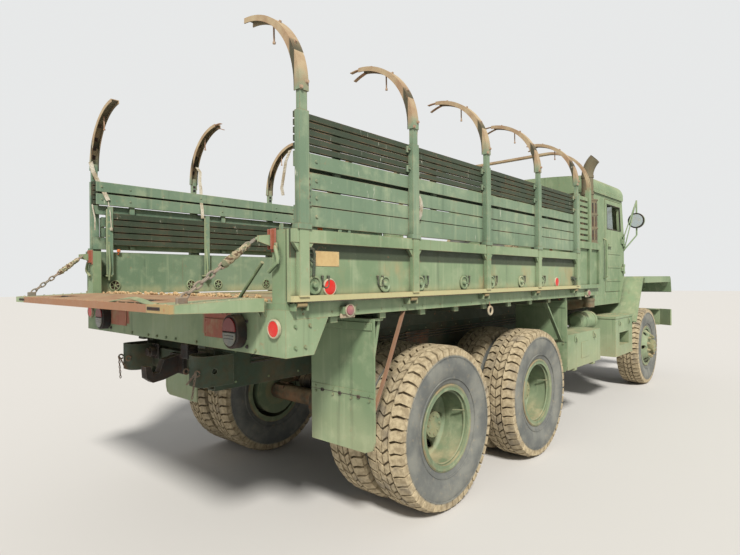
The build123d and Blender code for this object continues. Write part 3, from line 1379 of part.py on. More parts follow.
# Drop sides: a framed panel with ribs outside, hinge knuckles at every rib, stakes above
SIDE_REAR = BED_REAR + 4.0
BOARDS = (
    # bottom, top, station of the rear end
    (1763.0, 1858.0, -1300.0),
    (1863.0, 1936.0, -1240.0),
    (1944.0, 2020.0, -1240.0),
    (2040.0, 2110.0, -1300.0),
    (2120.0, 2148.0, -1300.0),
    (2157.0, 2185.0, -1300.0),
    (2194.0, 2222.0, -1300.0),
    (2231.0, 2259.0, -1300.0),
    (2268.0, 2296.0, -1300.0),
)
END_PLATE_W = 27.0          # upright plate that joins the ends of the second and third boards
CLEAT_IN = 22.0
SLAT_IN = 44.0
LEG_IN = 54.0
LEG_Z = (1560.0, 2100.0)
SEAT_SLATS = 5
for name, side in SIDES:
    panel_in = side * (BED_HALF + DOOR_GAP)
    panel_out = side * (BED_HALF + SIDE_T)
    rib_out = side * (BED_HALF + SIDE_T + RIB_D)
    side_bottom = FLOOR_TOP + 8
    side_top = FLOOR_TOP + SIDE_H
    with BuildPart() as dropside:
        block((SIDE_REAR, SIDE_FRONT), (panel_in, panel_out), (side_bottom, side_top))
        rail_out = side * (BED_HALF + SIDE_T + TOP_RAIL_D)
        ledge_out = side * (BED_HALF + SIDE_T + LEDGE_D)
        block((SIDE_REAR, SIDE_FRONT), (panel_out, rail_out), (side_top - TOP_RAIL_H, side_top))
        block((SIDE_REAR, SIDE_FRONT), (panel_out, ledge_out), (side_bottom, side_bottom + LEDGE_H))
        for x in rib_stations:
            block((x - RIB_W / 2, x + RIB_W / 2), (panel_out, rib_out), (side_bottom + 22, side_top))
            for lean in (1, -1):
                edge = x + lean * (RIB_W / 2 - 1)
                prism(
                    (
                        (edge, side_top - TOP_RAIL_H - GUSSET),
                        (edge, side_top - TOP_RAIL_H + 1),
                        (edge + lean * GUSSET * 0.8, side_top - TOP_RAIL_H + 1),
                    ),
                    panel_out,
                    rail_out - side * 4,
                )
            with BuildSketch(cross_plane(x - RIB_W / 2)):
                with Locations((side * SIDE_HINGE_Y, SIDE_HINGE_Z)):
                    Circle(KNUCKLE_R)
                with Locations((side * (SIDE_HINGE_Y - 5), SIDE_HINGE_Z + 16)):
                    Rectangle(14, 26)
                with Locations((side * SIDE_HINGE_Y, SIDE_HINGE_Z)):
                    Circle(PIN_R + RUN_FIT, mode=Mode.SUBTRACT)
            extrude(amount=RIB_W)
    finish(dropside, f"dropside_{name}")

    with BuildPart() as rack:
        stake_in = side * (BED_HALF + SIDE_T - 1)
        stake_out = side * (BED_HALF + SIDE_T + STAKE_D - 1)
        board_in = side * (BED_HALF + DOOR_GAP)
        first = rib_stations[0]
        last = rib_stations[-1]
        for x in rib_stations:
            block(
                (x - STAKE_W / 2, x + STAKE_W / 2),
                (stake_in, stake_out),
                (side_top + RUN_FIT, SOCKET_TOP),
            )
            block(
                (x - STAKE_W / 2 - 12, x + STAKE_W / 2 + 12),
                (stake_in - side * 5, stake_out + side * 3),
                (side_top + RUN_FIT, side_top + FOOT_H),
            )
            block(
                (x - INNER_STAKE_W / 2, x + INNER_STAKE_W / 2),
                (stake_out - side * 4, stake_out - side * (4 + INNER_STAKE_D)),
                (SOCKET_TOP, STAKE_TOP),
            )
            bow_end(x, side, (0.0, BOW_FOOT_D, BOW_TIP_D), BOW_W, BOW_REACH, Mode.ADD)
            cut = (BOW_WALL, BOW_FOOT_D + 1, BOW_TIP_D + 4)
            bow_end(x, side, cut, BOW_W - 2 * BOW_WALL, BOW_REACH + 2, Mode.SUBTRACT)
            block(
                (x - INNER_STAKE_W / 2, x + INNER_STAKE_W / 2),
                (stake_out - side * 4, stake_out - side * (4 + INNER_STAKE_D)),
                (BOW_FOOT_Z - 2, STAKE_TOP),
            )
        for z0, z1, rear_end in BOARDS:
            block((rear_end, last + 40), (board_in, stake_in), (z0, z1))
        block(
            (BOARDS[1][2], BOARDS[1][2] + END_PLATE_W),
            (stake_in, stake_in + side * 6),
            (BOARDS[1][0] - 7, BOARDS[2][1] - 4),
        )
        for x in rib_stations[:-1]:
            block((x + 250, x + 290), (board_in - side * CLEAT_IN, board_in), (1770, 2290))
        for index in range(SEAT_SLATS):
            z0 = 1800 + index * 52
            block(
                (first + 60, last - 60),
                (board_in - side * SLAT_IN, board_in - side * CLEAT_IN),
                (z0, z0 + 42),
            )
        for x in rib_stations[:-1]:
            block(
                (x + 66, x + 106),
                (board_in - side * LEG_IN, board_in - side * SLAT_IN),
                LEG_Z,
            )
    finish(rack, f"rack_{name}")

# Steering: knuckles between the yokes of the front axle, and the tie rod behind it
ARM_BACK = 200.0
ARM_Z = AXLE_Z - 92.0
for name, side in SIDES:
    with BuildPart() as knuckle:
        y_pin = side * KINGPIN_Y
        with BuildSketch(level_plane(AXLE_Z - YOKE_H + 1)):
            with Locations((FRONT_AXLE, y_pin)):
                Circle(46)
        extrude(amount=2 * YOKE_H - 1)
        with BuildSketch(level_plane(AXLE_Z - 124)):
            with Locations((FRONT_AXLE, y_pin)):
                Circle(20)
        extrude(amount=248)
        ring(FRONT_AXLE, y_pin + side * 35, y_pin + side * 60, AXLE_Z, 92)
        ring(FRONT_AXLE, y_pin, side * 1090, AXLE_Z, SPINDLE_R)
        block(
            (FRONT_AXLE - ARM_BACK - 25, FRONT_AXLE),
            (y_pin - 22, y_pin + 22),
            (ARM_Z, ARM_Z + 24),
        )
    finish(knuckle, f"knuckle_{name}")
with BuildPart() as tie_rod:
    rod_end = KINGPIN_Y
    for side in (1, -1):
        with BuildSketch(level_plane(ARM_Z - 32)):
            with Locations((FRONT_AXLE - ARM_BACK, side * rod_end)):
                Circle(26)
        extrude(amount=31.5)
    rod((FRONT_AXLE - ARM_BACK, -rod_end, ARM_Z - 16), (FRONT_AXLE - ARM_BACK, rod_end, ARM_Z - 16), 15)
finish(tie_rod, "tie_rod")


def tyre(x, y):
    """Adds a tyre, its round section turned about the axle."""
    half = TYRE_W / 2
    with BuildSketch(wheel_plane(x, y, AXLE_Z)) as section:
        with BuildLine():
            Polyline(
                (-BEAD_HALF, BEAD_R + RUN_FIT),
                (-half, TYRE_R - 150),
                (-half + 18, TYRE_R - 26),
                (-half + 52, TYRE_R),
                (half - 52, TYRE_R),
                (half - 18, TYRE_R - 26),
                (half, TYRE_R - 150),
                (BEAD_HALF, BEAD_R + RUN_FIT),
                close=True,
            )
        make_face()
    revolve(section.sketch, axis=wheel_axis(x, AXLE_Z))


def rim(x, y, outward):
    """Adds a rim: barrel, flanges and the dished disc, whose face lies towards outward."""
    half = RIM_W / 2
    inner = BEAD_R - RIM_WALL
    with BuildSketch(wheel_plane(x, y, AXLE_Z)) as section:
        with BuildLine():
            Polyline(
                (-half, inner),
                (-half, FLANGE_R),
                (-half + RIM_FLANGE_T, FLANGE_R),
                (-half + RIM_FLANGE_T, BEAD_R),
                (half - RIM_FLANGE_T, BEAD_R),
                (half - RIM_FLANGE_T, FLANGE_R),
                (half, FLANGE_R),
                (half, inner),
                close=True,
            )
        make_face()
        face = outward * DISC_OFFSET
        back = outward * (DISC_OFFSET - DISC_T)
        with BuildLine():
            Polyline(
                (face, HUB_R - 20),
                (face, 172),
                (outward * (half - 30), inner + 2),
                (outward * (half - 50), inner + 2),
                (back, 160),
                (back, HUB_R - 20),
                close=True,
            )
        make_face()
    revolve(section.sketch, axis=wheel_axis(x, AXLE_Z))


def hub(x, profile):
    """Adds the hub and brake drum from a half section of Y values and radii."""
    with BuildSketch(wheel_plane(x, 0, AXLE_Z)) as section:
        with BuildLine():
            Polyline(*profile, close=True)
        make_face()
    revolve(section.sketch, axis=wheel_axis(x, AXLE_Z))


def hand_holes(x, y0, y1, radius, count):
    """Cuts the round hand holes of a disc."""
    with BuildSketch(side_plane(max(y0, y1))) as holes:
        with Locations((x, AXLE_Z)):
            with PolarLocations(radius, count):
                Circle(26)
    extrude(holes.sketch, amount=abs(y1 - y0), mode=Mode.SUBTRACT)


# Wheels: a single one at each end of the front axle, twin ones on both rear axles
for name, side in SIDES:
    with BuildPart() as front_tyre:
        tyre(FRONT_AXLE, side * FRONT_TYRE_Y)
    finish(front_tyre, f"tyre_front_{name}")
    with BuildPart() as front_rim:
        rim(FRONT_AXLE, side * FRONT_TYRE_Y, side)
        face_y = side * (FRONT_TYRE_Y + DISC_OFFSET)
        hub(
            FRONT_AXLE,
            (
                (side * 868, SPINDLE_R + RUN_FIT),
                (side * 868, DRUM_R),
                (side * 985, DRUM_R),
                (side * 990, 120),
                (face_y - side * DISC_T, 120),
                (face_y - side * DISC_T, HUB_R - 20),
                (face_y + side * 55, HUB_R - 25),
                (face_y + side * 60, 0),
                (side * 1092, 0),
                (side * 1092, SPINDLE_R + RUN_FIT),
            ),
        )
        hand_holes(FRONT_AXLE, side * 1040, side * 1200, 200, 6)
    finish(front_rim, f"rim_front_{name}")
    for axle, x in (("mid", MID_AXLE), ("rear", REAR_AXLE)):
        with BuildPart() as twin_tyres:
            tyre(x, side * (DUAL_Y + DISC_OFFSET))
            tyre(x, side * (DUAL_Y - DISC_OFFSET))
        finish(twin_tyres, f"tyres_{axle}_{name}")
        with BuildPart() as twin_rims:
            rim(x, side * (DUAL_Y + DISC_OFFSET), -side)
            rim(x, side * (DUAL_Y - DISC_OFFSET), side)
            hub(
                x,
                (
                    (side * (BRAKE_FACE_Y + 45), SPINDLE_R + RUN_FIT),
                    (side * (BRAKE_FACE_Y + 45), DRUM_R),
                    (side * 800, DRUM_R),
                    (side * 806, HUB_R - 5),
                    (side * 1000, HUB_R - 5),
                    (side * 1085, HUB_R - 30),
                    (side * 1085, 0),
                    (side * (REAR_SPINDLE_Y + 2), 0),
                    (side * (REAR_SPINDLE_Y + 2), SPINDLE_R + RUN_FIT),
                ),
            )
            hand_holes(x, side * 800, side * 1000, 200, 6)
        finish(twin_rims, f"rims_{axle}_{name}")
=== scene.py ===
"""Six-wheel-drive drop-side cargo truck: paint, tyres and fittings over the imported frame."""
import contextlib
import math
import random

import bmesh
import bpy
from bpy.props import FloatProperty, FloatVectorProperty, IntProperty, PointerProperty
from mathutils import Matrix, Vector


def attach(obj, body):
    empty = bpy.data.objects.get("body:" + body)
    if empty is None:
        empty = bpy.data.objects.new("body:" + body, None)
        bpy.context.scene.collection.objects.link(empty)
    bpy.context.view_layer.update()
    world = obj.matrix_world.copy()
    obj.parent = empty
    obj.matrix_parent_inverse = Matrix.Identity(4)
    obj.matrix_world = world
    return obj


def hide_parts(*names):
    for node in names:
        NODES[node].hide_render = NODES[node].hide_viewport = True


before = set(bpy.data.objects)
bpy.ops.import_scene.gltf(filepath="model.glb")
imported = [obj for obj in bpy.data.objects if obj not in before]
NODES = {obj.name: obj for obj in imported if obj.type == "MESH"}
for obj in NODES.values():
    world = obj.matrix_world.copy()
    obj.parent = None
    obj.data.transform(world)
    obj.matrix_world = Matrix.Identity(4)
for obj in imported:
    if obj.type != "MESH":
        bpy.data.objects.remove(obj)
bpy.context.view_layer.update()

bl_info = {
    "name": "Drop-side cargo truck",
    "version": (1, 0, 0),
    "blender": (4, 5, 0),
    "location": "View3D > Sidebar > Cargo truck",
    "description": "Dresses the frame of a six-wheel-drive cargo truck",
    "category": "Object",
}

# Stations are millimetres forward of the rear-most axle, as on the chassis drawing.
MIDDLE = 2252.5
DRAWING_TO_FRAME = Matrix.Scale(0.001, 4) @ Matrix.Translation((-MIDDLE, 0, 0))
X, Y, Z = (1, 0, 0), (0, 1, 0), (0, 0, 1)
REAR, INWARD = (-1, 0, 0), (0, -1, 0)
SIDES = (("left", 1), ("right", -1))
BOTH = (1, -1)
WELD, FINE_WELD = 0.05, 0.01

WHEEL_Z = 535.0
TYRE_RADIUS = 535.0
AXLES = {"rear": 0.0, "mid": 1372.0, "front": 5233.0}
DUAL_CENTRES = (1083.0, 747.0)
FRONT_CENTRE = 965.0
SPARE_CENTRE = (3060.0, 330.0, 1700.0)
NUT_CIRCLE = 143
# The tread rounds off and ends outside these offsets; its blocks narrow towards their tops.
TREAD_FLAT, SHOULDER, TREAD_EDGE = 100, 120, 146
SHOULDER_DROP = 22
BLOCK_TAPER = 0.07
# Reach and fade of the painted shade in the tread grooves, and the radius where it starts.
GROOVE_REACH, GROOVE_FADE = 513, 14
TREAD_FROM = 0.478

RIB_STATIONS = (-1280.0, -429.0, 422.0, 1273.0, 2124.0)
PANEL_Y = 1244.0
BOARD_EDGES = ((1763.0, 1858.0), (1863.0, 1936.0), (1944.0, 2020.0), (2040.0, 2110.0))
SIDE_DISCS = (-1200.0, -683.0, -362.0, 128.0, 500.0, 972.0, 1350.0)
SIDE_LOOPS = (-1128.0, -722.0, -300.0, 176.0, 560.0, 1018.0, 1400.0)
SIDE_REFLECTORS = (-1098.0, 1674.0)
BOW_SPRING = 2399.6
BOW_RADIUS = 454.0
BOW_FACE = 1279.0
FLOOR_Z = 1400


# ---------------------------------------------------------------- colours
def colour(red, green, blue):
    """Linear RGBA from the 0 to 255 values of a paint chip."""
    def linear(value):
        share = value / 255
        return share / 12.92 if share <= 0.04045 else ((share + 0.055) / 1.055) ** 2.4
    return (linear(red), linear(green), linear(blue), 1.0)


OLIVE = colour(114, 136, 103)
SAGE = colour(140, 158, 124)
CHALKY = colour(166, 177, 144)
DEEP_OLIVE = colour(46, 58, 44)
DUST = colour(184, 164, 128)
RUST = colour(118, 66, 38)
PALE_RUST = colour(164, 108, 76)
BARE_STEEL = colour(150, 146, 138)


class Finish:
    """A node material whose tone is built up in layers over a base colour."""

    def __init__(self, name, roughness, tone=None, **sockets):
        self.material = bpy.data.materials.new(name)
        self.material.use_nodes = True
        self.tree = self.material.node_tree
        self.shader = self.tree.nodes["Principled BSDF"]
        self.shader.inputs["Roughness"].default_value = roughness
        for socket, value in sockets.items():
            self.shader.inputs[socket.replace("_", " ")].default_value = value
        self.tone = tone
        self.place = self.add("TexCoord").outputs["Object"]
        self.normal = self.add("NewGeometry").outputs["Normal"]
        self.x, self.y, self.z = self.add("SeparateXYZ", {0: self.place}).outputs
        self.up = self.add("SeparateXYZ", {0: self.normal}).outputs[2]
        self.offset = self.maths("ABSOLUTE", self.y)

    def add(self, kind, sockets=None, **settings):
        """A new node of a kind, with links or values on its inputs."""
        node = self.tree.nodes.new("ShaderNode" + kind)
        for key, value in settings.items():
            setattr(node, key, value)
        for key, value in (sockets or {}).items():
            if isinstance(value, bpy.types.NodeSocket):
                self.tree.links.new(value, node.inputs[key])
            else:
                node.inputs[key].default_value = value
        return node

    def noise(self, scale, detail=4.0, stretch=(1, 1, 1), shift=0.0):
        mapping = self.add("Mapping", {
            "Vector": self.place, "Location": (shift, shift * 0.7, shift * 1.3), "Scale": stretch})
        return self.add("TexNoise", {"Vector": mapping.outputs[0], "Scale": scale, "Detail": detail,
                                     "Roughness": 0.6}).outputs[0]

    def step(self, value, low, high, start=0.0, end=1.0):
        """A smooth rise from start to end while a value goes from low to high."""
        return self.add("MapRange", {
            "Value": value, "From Min": low, "From Max": high, "To Min": start, "To Max": end},
            interpolation_type="SMOOTHSTEP").outputs[0]

    def maths(self, operation, first, second=0.0):
        return self.add("Math", {0: first, 1: second}, operation=operation).outputs[0]

    def plus(self, first, second):
        return self.maths("ADD", first, second)

    def times(self, first, *others):
        for other in others:
            first = self.maths("MULTIPLY", first, other)
        return first

    def mix(self, factor, first, second):
        return self.add("Mix", {0: factor, 6: first, 7: second}, data_type="RGBA").outputs[2]

    def cover(self, layer, *shares):
        """Lays a colour over the tone by the product of the shares."""
        self.tone = self.mix(self.times(*shares), self.tone, layer)

    def edges(self, radius):
        """Share of an edge within the radius, from the rounded normal."""
        rounded = self.add("Bevel", {"Radius": radius}, samples=4).outputs[0]
        agree = self.add("VectorMath", {0: rounded, 1: self.normal}, operation="DOT_PRODUCT")
        return self.step(agree.outputs["Value"], 0.985, 0.82)

    def painted_corner_shade(self, distance):
        """Share of shelter in corners and behind fittings, for painted shade there."""
        open_sky = self.add("AmbientOcclusion", {"Distance": distance}, samples=6).outputs["AO"]
        return self.step(open_sky, 0.78, 0.25)

    def radius_from(self, x, z):
        """Distance from an axle that lies across the truck, in metres."""
        along = self.maths("SUBTRACT", self.x, x)
        height = self.maths("SUBTRACT", self.z, z)
        return self.maths("SQRT", self.plus(self.times(along, along), self.times(height, height)))

    def bump(self, height, distance):
        node = self.add("Bump", {"Height": height, "Distance": distance, "Strength": 1.0})
        self.tree.links.new(node.outputs[0], self.shader.inputs["Normal"])

    def close(self, roughness=None):
        self.tree.links.new(self.tone, self.shader.inputs["Base Color"])
        if roughness is not None:
            self.tree.links.new(roughness, self.shader.inputs["Roughness"])
        return self.material


def paint(name, base=OLIVE, faded=SAGE, dust=0.45, rust=0.35, wear=0.6, low_dust=0.5, zone=None, shift=0.0):
    """Sun-faded sheet-metal paint with rain streaks, dust, chipped edges and rust spots, and painted shade on
    undersides and in corners.
    """
    f = Finish(name, 0.62, base)
    mottle = f.noise(9.0, 6.0, shift=shift + 3.0)
    patches = f.noise(3.2, 5.0, shift=shift + 7.0)
    streaks = f.noise(1.0, 5.0, (26, 26, 1.3), shift)
    grime = f.noise(1.0, 5.0, (17, 17, 0.9), shift + 5.0)
    spots = f.noise(34.0, 8.0, shift=shift + 9.0)
    runs = f.noise(1.0, 6.0, (40, 40, 2.2), shift + 11.0)
    flecks = f.noise(120.0, 2.0, shift=shift + 13.0)
    f.cover(faded, f.step(f.noise(1.1, 3.0, shift=shift), 0.34, 0.66))
    f.cover(CHALKY, f.step(mottle, 0.48, 0.72), 0.4)
    f.cover(CHALKY, f.step(streaks, 0.52, 0.74), 0.42)
    f.cover(DEEP_OLIVE, f.step(grime, 0.55, 0.78), 0.38)
    if zone is not None:
        zone(f)
    f.cover(PALE_RUST, f.step(spots, 0.60, 0.68), f.step(patches, 0.44, 0.66), rust)
    f.cover(RUST, f.step(runs, 0.60, 0.76), patches, rust)
    f.cover(PALE_RUST, f.edges(0.006), f.step(mottle, 0.36, 0.62), wear)
    f.cover(CHALKY, f.step(flecks, 0.70, 0.76), 0.5)
    f.cover(DUST, f.step(f.up, 0.25, 0.95), f.step(mottle, 0.30, 0.66), dust)
    # Painted shade: faces that look downwards are darkened.
    f.cover(DEEP_OLIVE, f.step(f.up, -0.4, -0.85, 0.0, 0.72))
    f.cover(DUST, f.step(f.z, 1.05, 0.25), f.step(patches, 0.25, 0.6), low_dust)
    # Painted shade: darker in corners, recesses and behind fittings.
    f.cover(DEEP_OLIVE, f.painted_corner_shade(0.09), 0.62)
    dents = f.noise(2.6, 2.0, shift=shift + 17.0)
    f.bump(f.plus(f.times(dents, 6.0), f.noise(260.0, 2.0)), 0.0006)
    return f.close(f.step(mottle, 0.3, 0.7, 0.5, 0.78))


def weathered_iron(name, base, rust=0.6, dust=0.6, roughness=0.75):
    """Painted or bare running gear under mud, dust and rust."""
    f = Finish(name, roughness, base)
    broad = f.noise(4.0, 5.0)
    fine = f.noise(26.0, 8.0, shift=4.0)
    f.cover(RUST, f.step(fine, 0.42, 0.66), rust)
    f.cover(PALE_RUST, f.step(broad, 0.46, 0.7), rust)
    f.cover(BARE_STEEL, f.edges(0.004), 0.5)
    settled = f.plus(f.step(f.up, 0.1, 0.9), f.step(f.z, 1.2, 0.2, 0.0, 0.55))
    f.cover(DUST, settled, f.step(broad, 0.28, 0.62), dust)
    f.bump(f.plus(fine, broad), 0.0012)
    return f.close(f.step(fine, 0.3, 0.7, roughness - 0.12, roughness + 0.1))


def tyre_rubber(name):
    """Grey-blue weathered sidewall, with tan soil packed on the tread and painted shade at the foot of the tread
    blocks.
    """
    f = Finish(name, 0.85, colour(98, 101, 99))
    soil = f.noise(30.0, 8.0)
    patch = f.noise(5.0, 5.0, shift=6.0)
    f.cover(colour(128, 129, 122), f.step(patch, 0.35, 0.68))
    f.cover(DUST, f.step(soil, 0.56, 0.80), 0.35)
    tread = f.mix(f.step(soil, 0.34, 0.64), colour(148, 133, 106), colour(187, 172, 141))
    tread = f.mix(f.times(f.step(patch, 0.52, 0.72), 0.6), tread, colour(118, 112, 104))
    reach = f.add("Attribute", attribute_name="reach").outputs["Fac"]
    band = f.add("Attribute", attribute_name="band").outputs["Fac"]
    # Painted shade: dark brown on the groove floors and the foot of the blocks, between the shoulders.
    groove_shade = f.mix(f.step(band, 0.1, 0.9), colour(88, 76, 58), tread)
    f.cover(groove_shade, f.step(reach, TREAD_FROM - 0.012, TREAD_FROM + 0.004))
    f.bump(f.plus(soil, f.times(patch, 0.6)), 0.002)
    return f.close()


def lens(name, tone, roughness=0.25, dirt=0.4):
    """Moulded lamp or mirror glass under a film of dust."""
    f = Finish(name, roughness, tone, Coat_Weight=0.35)
    f.cover(DUST, f.step(f.noise(24.0, 5.0), 0.45, 0.75), dirt)
    f.bump(f.noise(90.0, 1.0), 0.0006)
    return f.close()


def woven(name, base, dirty, blotch=None):
    """Coarse cotton or webbing cloth, with printed blotches if a colour is given."""
    f = Finish(name, 0.95, base)
    warp, weft = (f.add("TexWave", {"Vector": f.place, "Scale": 420.0}, bands_direction=way).outputs["Fac"]
                  for way in "XZ")
    soil = f.noise(14.0, 6.0)
    f.cover(dirty, f.step(soil, 0.38, 0.68))
    if blotch is not None:
        pattern = f.noise(34.0, 1.0, shift=9.0)
        f.cover(blotch, f.step(pattern, 0.53, 0.55))
        f.cover(colour(112, 92, 70), f.step(pattern, 0.42, 0.40))
    f.bump(f.plus(f.times(warp, weft), soil), 0.001)
    return f.close()


def glass_pane(name):
    """Window glass, clear to dusty."""
    f = Finish(name, 0.08, colour(196, 206, 200), Transmission_Weight=0.85, IOR=1.45)
    film = f.noise(6.0, 6.0)
    f.cover(colour(150, 142, 122), f.step(film, 0.45, 0.75))
    return f.close(f.step(film, 0.4, 0.75, 0.06, 0.4))


def bow_zone(f):
    """Bare tan primer on the bow ends above the stakes."""
    patches = f.noise(7.0, 6.0, shift=21.0)
    bare = f.mix(f.step(patches, 0.35, 0.7), colour(182, 164, 132), colour(156, 128, 100))
    f.cover(bare, f.step(f.plus(f.z, f.times(patches, 0.25)), 2.50, 2.62))


def rack_zone(f):
    """Painted shade on the upright faces of the slats and seat, and boards with pale drips."""
    bow_zone(f)
    upright = f.step(f.maths("ABSOLUTE", f.up), 0.7, 0.4)
    slats = f.times(f.step(f.z, 2.112, 2.118), f.step(f.offset, 1.2444, 1.2434), f.step(f.offset, 1.202, 1.216))
    seat = f.times(f.step(f.z, 2.060, 2.052), f.step(f.z, 1.790, 1.797),
                   f.step(f.offset, 1.1752, 1.1757), f.step(f.offset, 1.201, 1.199))
    # Painted shade: the upright faces of the slats and seat are darkened, while their tops stay light.
    f.cover(colour(42, 50, 36), f.maths("MAXIMUM", slats, seat), upright, 0.88)
    drips = f.noise(1.0, 3.0, (90, 40, 9), 2.0)
    marks = f.noise(5.0, 3.0, shift=8.0)
    f.cover(colour(206, 206, 190), f.step(drips, 0.68, 0.72), f.step(marks, 0.48, 0.56), 0.8)


def gate_zone(f):
    """Three-colour camouflage patches with worn edges on the open tailgate."""
    wander = f.noise(3.2, 4.0, shift=31.0)
    across = f.plus(f.y, f.times(f.maths("SUBTRACT", wander, 0.5), 0.12))
    f.cover(colour(166, 144, 100), f.step(across, -0.89, -0.91), f.step(f.x, -4.070, -4.084))
    f.cover(colour(152, 112, 84), f.step(across, -0.91, -0.89), f.step(across, 0.95, 0.90))
    f.cover(colour(138, 132, 104), f.step(wander, 0.60, 0.66), 0.55)


def side_zone(f):
    """Painted shadow below the top rail, rust stains, and yellow dust on the ledge and hinges."""
    panel = f.times(f.step(f.offset, 1.234, 1.238), f.step(f.offset, 1.251, 1.247))
    stain = f.noise(1.0, 4.0, (3.4, 3.4, 2.0), 47.0)
    f.cover(colour(172, 146, 104), f.step(stain, 0.50, 0.66), f.step(f.z, 1.66, 1.56), panel, 0.5)
    # Painted shadow: a dark band cast by the top rail across the panel.
    f.cover(colour(44, 52, 38), f.step(f.z, 1.604, 1.616), panel, 0.88)
    drift = f.noise(6.0, 5.0, (1, 1, 0.4), 33.0)
    f.cover(colour(184, 176, 134), f.step(f.z, 1.50, 1.42), f.step(drift, 0.25, 0.65), 0.6)
    f.cover(colour(190, 182, 136), f.step(f.z, 1.440, 1.434), f.step(f.offset, 1.244, 1.250), 0.7)
    f.cover(colour(148, 126, 88), f.step(f.z, 1.409, 1.404), f.step(f.offset, 1.226, 1.232), 0.8)


def sill_zone(f):
    """Faded red-brown camouflage panels between the rear lamps."""
    place = f.plus(f.offset, f.times(f.noise(3.0, 3.0, shift=41.0), 0.12))
    f.cover(colour(158, 92, 74), f.step(place, 0.52, 0.56), f.step(place, 0.84, 0.80),
            f.step(f.z, 1.215, 1.225), f.step(f.x, -3.55, -3.59))


def floor_zone(f):
    """Bed floor worn to rust under old loads, with painted shade below it."""
    # Painted shade: dark under the floor, inboard of the sides.
    f.cover(colour(44, 46, 36), f.step(f.z, 1.372, 1.362), f.step(f.offset, 1.19, 1.16), 0.85)
    wear = f.noise(2.2, 7.0, shift=51.0)
    f.cover(colour(148, 112, 82), f.step(f.up, 0.6, 0.9), f.step(wear, 0.38, 0.60))


def rim_paint(name, axle_x):
    """Wheel paint with rust round the flange and soil on the hub."""
    def flange(f):
        reach = f.radius_from(axle_x, WHEEL_Z / 1000)
        patches = f.noise(9.0, 6.0, shift=61.0)
        f.cover(PALE_RUST, f.step(reach, 0.252, 0.285), f.step(patches, 0.4, 0.6), 0.4)
        f.cover(colour(150, 140, 100), f.step(reach, 0.135, 0.115), f.step(patches, 0.3, 0.6), 0.6)
    return paint(name, colour(98, 120, 92), colour(122, 141, 112), dust=0.55, rust=0.2, zone=flange,
                 low_dust=0.12)


MATERIALS = {}
PAINTS = {
    "olive": ("weathered_olive", {}),
    "cab": ("cab_olive", {"rust": 0.25, "shift": 70.0}),
    "side": ("side_panel_olive", {"rust": 0.5, "zone": side_zone, "shift": 60.0}),
    "side_left": ("inner_panel_olive", {"base": colour(102, 125, 100), "faded": colour(124, 144, 120),
                                        "rust": 0.4, "zone": side_zone, "shift": 64.0}),
    "rack_left": ("inner_rack_olive", {"base": colour(100, 126, 104), "faded": colour(122, 144, 122),
                                       "rust": 0.3, "zone": rack_zone, "shift": 84.0}),
    "rack": ("rack_olive", {"base": colour(110, 132, 108), "faded": colour(130, 149, 124),
                            "rust": 0.35, "zone": rack_zone, "shift": 80.0}),
    "bow": ("bow_olive", {"zone": bow_zone, "shift": 90.0}),
    "gate": ("gate_camouflage", {"rust": 0.7, "zone": gate_zone, "shift": 100.0}),
    "sill": ("sill_olive", {"zone": sill_zone, "shift": 110.0}),
    "floor": ("bed_floor_worn", {"rust": 0.8, "zone": floor_zone, "shift": 120.0}),
    "flap": ("painted_flap", {"rust": 0.12, "wear": 0.25, "low_dust": 0.25, "shift": 130.0}),
    "red_patch": ("red_camouflage", {"base": colour(150, 84, 66), "faded": colour(168, 106, 84),
                                     "shift": 140.0}),
}
# Colour chip, rust, dust and roughness of the irons.
IRONS = {
    "gear": ("running_gear", (62, 62, 50)),
    # Dark frame green, also laid on the side loops and latches as painted shade.
    "frame_paint_and_latch_shade": ("frame_paint_and_latch_shade", (52, 68, 52), 0.12, 0.35),
    "iron": ("rusty_iron", (110, 96, 80), 0.6, 0.4),
    "chain": ("chain_steel", (122, 118, 108), 0.3, 0.3, 0.55),
    "brown_stay": ("brown_primed_stay", (132, 100, 80), 0.3, 0.2),
    "red_iron": ("red_primed_iron", (150, 82, 62), 0.5, 0.2),
    "gravel": ("loose_gravel", (192, 160, 112), 0.25, 0.6),
    # Near-black painted shade for holes, slots and recesses, also the dark seams of the mud flaps.
    "shade_and_seams": ("painted_shade_and_dark_seams", (26, 26, 24), 0.2, 0.2),
    "engine": ("engine_casting", (80, 92, 78), 0.4),
    "exhaust": ("exhaust_pipe", (112, 106, 84), 0.22, 0.3),
    "hose": ("hose_rubber", (34, 34, 34), 0.0, 0.7),
    "black": ("black_enamel", (28, 28, 28), 0.1, 0.4),
    "bow_bare": ("bow_bolts", (176, 150, 124), 0.5, 0.2),
    "pale": ("pale_rim_paint", (178, 172, 148), 0.25, 0.3),
    "tan_plate": ("bare_tan_plate", (196, 170, 120), 0.15, 0.2),
    "nut": ("wheel_nut_paint", (128, 138, 104), 0.35, 0.6),
    "orange": ("orange_knob", (204, 110, 56), 0.2, 0.2),
}
# Colour chip, roughness and dirt of the lenses.
LENSES = {
    "dark_red": ("dark_red_lens", (112, 12, 16), 0.5, 0.1),
    "amber": ("amber_lens", (214, 92, 18)),
    "pink": ("faded_pink_lens", (150, 92, 98)),
    "clear": ("clear_lens", (190, 196, 196), 0.12),
    "mirror": ("mirror_face", (170, 180, 186), 0.05),
    "bright_red": ("bright_red_lens", (206, 26, 14), 0.4, 0.12),
    "smoke": ("smoked_lens", (92, 98, 92), 0.3, 0.3),
}


